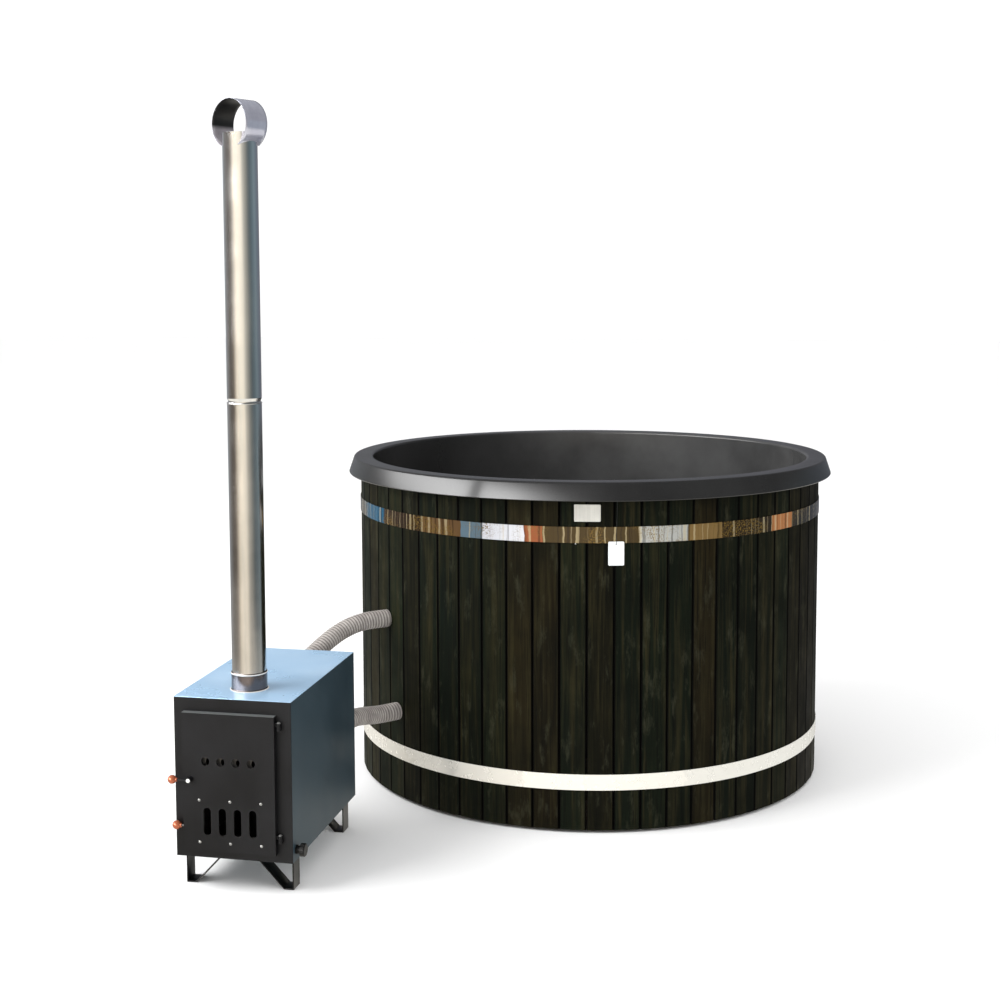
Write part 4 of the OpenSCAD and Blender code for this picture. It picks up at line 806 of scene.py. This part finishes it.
def ribbedHose(name, run, node, s, around=48):
    # radius = outer less a groove whose place winds round the hose, one turn for each rib
    path, at = hoseLine(run, s)
    ring, ang = ringsAlong(path, around)
    wave = 0.5 + 0.5 * np.cos(2 * np.pi * at[:, None] / s["pitch"] + ang[None])
    r = s["outer"] - s["rib"] * (1 - wave ** 0.7)
    end = np.minimum(at, at[-1] - at)[:, None]
    r = np.where(end < s["cuff"], s["outer"] - s["rib"] * 0.6, r)
    outer = path[:, None] + r[..., None] * ring
    inner = path[::-1][:, None] + s["bore"] * ring[::-1]
    loop = np.concatenate([outer, inner, outer[:1]])
    obj = build(name, [grid(loop[:, ::-1], closeV=True)], finish["hose_plastic"], "tub", [node], 60)
    # how deep each point lies in a groove, for the painted shade in the grooves
    gap = np.linalg.norm(coords(obj.data)[:, None] - path[None].astype(np.float32), axis=2).min(axis=1)
    deep = np.clip((s["outer"] - gap) / s["rib"], 0, 1).astype(np.float32)
    obj.data.attributes.new("groove", "FLOAT", "POINT").data.foreach_set("value", deep)


ribbedHose("hotHoseRibbed", hotRun, "hot_hose", hoseSizes)
ribbedHose("coldHoseRibbed", coldRun, "cold_hose", hoseSizes)
print("hoses made")

# heater: nodes that keep their form and get rounded edges, as (finish, body, width of the edge, steps)
softEdges = {
    "casing": ("casing_paint", "tub", 0.0009, 2), "top_plate": ("top_sheet", "tub", 0.0009, 2),
    "front_frame": ("black_paint", "tub", 0.0009, 2), "strap_feet": ("foot_paint", "tub", 0.0009, 2),
    "door_panel": ("door_paint", "fire_door", 0.0016, 3), "latch_lever": ("black_paint", "latch", 0.0004, 2)}
for node, (key, body, width, steps) in softEdges.items():
    softened(node, finish[key], body, width, steps)

heaterCorner = np.array([-0.959, -1.440, 0.0])
doorSizes = {"face": -0.0195, "rivetX": (0.0785, 0.1695, 0.2605), "rivetZ": (0.1432, 0.2638),
             "rivet": (0.0042, 0.0016), "latch": (0.054, -0.038, 0.323), "latchCap": (0.0058, 0.0018)}
knobSizes = {"r": 0.0125, "to": -62, "neck": 0.0056, "rod": 0.003, "latch": (0.005, -0.033, 0.323),
             "damper": (0.008, -0.014, 0.186)}


def doorHeads(s):
    # domed heads of the door's rivets and of the latch's shaft
    places = [heaterCorner + (x, s["face"], z) for x in s["rivetX"] for z in s["rivetZ"]]
    build("doorRivetHeads", [dome(at, (0, -1, 0), *s["rivet"]) for at in places], finish["rivet_alloy"],
          "fire_door", ["door_rivets"], 50)
    build("latchCap", [dome(heaterCorner + s["latch"], (0, -1, 0), *s["latchCap"])], finish["latch_cap"],
          "latch", sharp=50)


def ballKnob(name, centre, node, body, s):
    # ball, flat where the rod enters, with a short ferrule turned with it
    ball, n, rod = arc(0.0, 0.0, s["r"], 90, s["to"], 26), s["neck"], s["rod"]
    z = ball[-1, 1]
    ferrule = np.array([[n, z - 0.0001], [n, z - 0.0032], [n - 0.0007, z - 0.004], [rod, z - 0.004], [rod, z + 0.001],
                        [0.0, z + 0.001]])
    points, cells = turned(np.vstack([ball, ferrule]), steps=56)
    build(name, [(aimed(points, heaterCorner + centre, (-1, 0, 0)), cells)], finish["copper_ball"], body, [node],
          40)


doorHeads(doorSizes)
ballKnob("latchBall", knobSizes["latch"], "latch_knob", "latch", knobSizes)
ballKnob("damperBall", knobSizes["damper"], "damper_knob", "damper", knobSizes)
print("heater dressed")

# chimney
flueSizes = {"at": (-0.779, -1.320), "r": 0.0485, "sheet": 0.001, "base": 0.552, "collar": 0.052,
             "ledge": (0.5385, 0.5415), "low": 0.5413, "joint": 1.372, "top": 2.118, "steps": 128}
capSizes = {"r": 0.0685, "half": 0.040, "lift": 0.024, "turn": -26.0, "open": 60.0, "clear": 0.0488}


def fluePipes(s):
    # each piece is one closed profile of (radius, height) turned about the chimney's axis
    r, t, b, j, top = s["r"], s["sheet"], s["base"], s["joint"], s["top"]
    ci, co, ct, (l0, l1) = r + 0.0003, r + 0.0023, b + s["collar"], s["ledge"]
    collar = np.concatenate([
        [[co + 0.0046, b + 0.0003], [co + 0.0046, b + 0.0012], [co + 0.0036, b + 0.0018], [co + 0.001, b + 0.0028],
         [co, b + 0.005], [co, b + 0.0056], [co, ct - 0.0066], [co, ct - 0.006]],
        arc(co, ct - 0.0035, 0.0016, -80, 80, 7),
        [[co, ct - 0.0006], [co - 0.0005, ct], [ci + 0.0003, ct], [ci, ct - 0.0005], [ci, l1], [r - t, l1],
         [r - t, l0], [co, l0], [co, b + 0.0003], [co + 0.0046, b + 0.0003]]])
    lower = np.concatenate([
        [[r, s["low"]], [r, s["low"] + 0.001], [r, j - 0.0065], [r, j - 0.0055]],
        arc(r - 0.0002, j - 0.0028, 0.0012, -80, 80, 7),
        [[r, j - 0.0006], [r - 0.0004, j], [r - t, j - 0.0002], [r - t, s["low"]], [r, s["low"]]]])
    w, p = r - 0.0030, r - t - 0.0003
    upper = np.array([
        [p, j - 0.04], [p, j - 0.001], [w, j + 0.001], [w, j + 0.004], [w + 0.0008, j + 0.0065],
        [r - 0.0006, j + 0.0095], [r, j + 0.012], [r, j + 0.013], [r, top - 0.0014], [r, top - 0.0004],
        [r - 0.0003, top], [r - t + 0.0003, top], [r - t, top - 0.0004], [r - t, top - 0.0014], [r - t, j + 0.015],
        [r - t, j + 0.014], [w - t, j + 0.007], [w - t, j + 0.001], [p - t, j - 0.001], [p - t, j - 0.04],
        [p, j - 0.04]])
    for name, profile, key, node, sharp in (
            ("flueCollarTurned", collar, "collar_steel", "flue_collar", 50),
            ("lowerFlueTurned", lower, "flue_steel", "lower_flue", 50),
            ("upperFlueTurned", upper, "flue_steel", "upper_flue", 30)):
        build(name, [turned(profile, (*s["at"], 0.0), s["steps"])], finish[key], "tub", [node], sharp)


def rainCap(s, f):
    # sheet bent round a level axis; its lower corners are cut back where the pipe comes up between them
    edge = 180 - s["open"] / 2
    cutFrom = 180 - math.degrees(math.asin(s["clear"] / s["r"]))

    def sheet(phi, y):
        # points at angles round the axis and places along it
        a = np.radians(phi)
        return np.stack([s["r"] * np.sin(a), y, s["r"] * np.cos(a)], -1)

    phi = np.linspace(-cutFrom, cutFrom, 121)
    y = np.linspace(-s["half"], s["half"], 9)
    parts = [grid(sheet(*np.meshgrid(phi, y, indexing="ij")))]
    low = np.linspace(cutFrom, edge, 11)
    near = np.sqrt(np.maximum(s["clear"] ** 2 - (s["r"] * np.sin(np.radians(low))) ** 2, 0))
    k = np.linspace(0, 1, 5)
    yy = near[:, None] * (1 - k) + s["half"] * k
    for sideX, sideY in ((1, 1), (1, -1), (-1, 1), (-1, -1)):
        points, cells = grid(sheet(np.broadcast_to(low[:, None], yy.shape) * sideX, yy * sideY))
        parts.append((points, cells if sideX * sideY > 0 else cells[:, ::-1]))
    turnBy = math.radians(s["turn"])
    spin = np.array([[math.cos(turnBy), math.sin(turnBy), 0], [-math.sin(turnBy), math.cos(turnBy), 0], [0, 0, 1]])
    move = np.array([*f["at"], f["top"] + s["lift"]])
    parts = [(p @ spin + move, c) for p, c in parts]
    obj = build("rainCapBent", parts, finish["cap_steel"], "tub", ["chimney_cap"], 60)
    mod = obj.modifiers.new("sheet", "SOLIDIFY")
    mod.thickness, mod.offset = f["sheet"], -1.0


finish["collar_steel"], finish["cap_steel"] = collarPipe(flueSizes), capPipe(capSizes, flueSizes)
fluePipes(flueSizes)
rainCap(capSizes, flueSizes)
print("chimney made")

# floor and light; directions are degrees from -Y towards +X, and heights the third number of a ray's direction
studio = {"floorReach": 40.0, "paper": 0.93, "sky": 1.12, "window": 19.0, "windowLeft": (-118, -62),
          "windowRight": (16, -30), "windowFoot": (0.16, 0.2), "windowTop": (0.5, 0.42), "levelToHigh": (0.14, 0.24),
          "levelToLow": (-0.22, -0.34), "low": (250, 246, 236)}
room = {
    "level": [(-180, (112, 112, 118)), (-130, (150, 154, 158)), (-100, (124, 122, 120)), (-76, (92, 86, 80)),
              (-52, (106, 97, 88)), (-40, (170, 158, 142)), (-26, (238, 226, 204)), (-6, (253, 243, 224)),
              (18, (249, 238, 218)), (36, (180, 175, 164)), (52, (142, 140, 132)), (66, (104, 108, 106)),
              (80, (84, 94, 98)), (98, (94, 108, 114)), (116, (112, 126, 132)), (142, (98, 106, 116)),
              (180, (112, 112, 118))],
    "high": [(-180, (120, 122, 128)), (-112, (150, 150, 152)), (-98, (235, 235, 235)), (-26, (235, 235, 235)),
             (0, (150, 150, 150)), (24, (84, 84, 84)), (120, (90, 90, 92)), (180, (120, 122, 128))],
}


def makeFloor(s):
    # a wide sheet of pale paper that gloss doesn't see
    mesh = bpy.data.meshes.new("floor")
    r = s["floorReach"]
    mesh.from_pydata([(-r, -r, 0), (r, -r, 0), (r, r, 0), (-r, r, 0)], [], [(0, 1, 2, 3)])
    mat, _, bsdf, _ = startMaterial("floorPaper", shine=0.1)
    bsdf["Roughness"].default_value = 0.9
    bsdf["Base Color"].default_value = (s["paper"], s["paper"], s["paper"], 1.0)
    mesh.materials.append(mat)
    obj = addObject("floor", mesh)
    obj.visible_glossy = False


def makeWorld(s, walls):
    # plain white to the camera and for soft light; gloss sees a room with light and dark sides and a bright window
    world = bpy.data.worlds.new("studioWorld")
    bpy.context.scene.world = world
    world.use_nodes = True
    tree = world.node_tree
    back = tree.nodes["Background"].inputs
    way = axesOf(tree, put(tree, "ShaderNodeTexCoord").outputs["Generated"])
    side = sums(tree, "ARCTAN2", way[0], times(tree, way[1], -1.0))
    seen = blendColour(tree, spread(tree, way[2], *s["levelToHigh"]), ramp(tree, side, walls["level"]),
                       ramp(tree, side, walls["high"]))
    seen = layered(tree, seen, [(spread(tree, way[2], *s["levelToLow"]), 1.0, s["low"])])
    ray = put(tree, "ShaderNodeLightPath").outputs
    plain = sums(tree, "MAXIMUM", ray["Is Camera Ray"], ray["Is Diffuse Ray"])
    feed(tree, back["Color"], blendColour(tree, plain, seen, (1.0, 1.0, 1.0, 1.0)))
    glow = times(tree, *(spread(tree, side, *map(math.radians, s[key])) for key in ("windowLeft", "windowRight")),
                 *(spread(tree, way[2], *s[key]) for key in ("windowFoot", "windowTop")),
                 times(tree, ray["Is Glossy Ray"], s["window"]))
    feed(tree, back["Strength"], plus(tree, glow, s["sky"]))


lamps = {   # place and size in metres, power in watts; all aim at the same point
    "keyLamp": {"place": (-5.2, -3.4, 5.5), "wide": 5.5, "high": 2.2, "power": 480},
    "fillLamp": {"place": (4.6, -2.4, 3.4), "wide": 2.6, "high": 2.6, "power": 50},
}


def makeLamps(table, aim=(0, 0, 0.9)):
    # flat lamps that gloss doesn't see
    for name, v in table.items():
        lamp = bpy.data.lights.new(name, "AREA")
        lamp.shape = "RECTANGLE"
        lamp.size, lamp.size_y, lamp.energy = v["wide"], v["high"], v["power"]
        obj = addObject(name, lamp)
        obj.location = v["place"]
        obj.rotation_euler = (Vector(aim) - Vector(v["place"])).to_track_quat("-Z", "Y").to_euler()
        obj.visible_glossy = False


makeFloor(studio)
makeWorld(studio, room)
makeLamps(lamps)
bpy.context.scene.view_settings.view_transform = "Standard"
print("floor and light set")
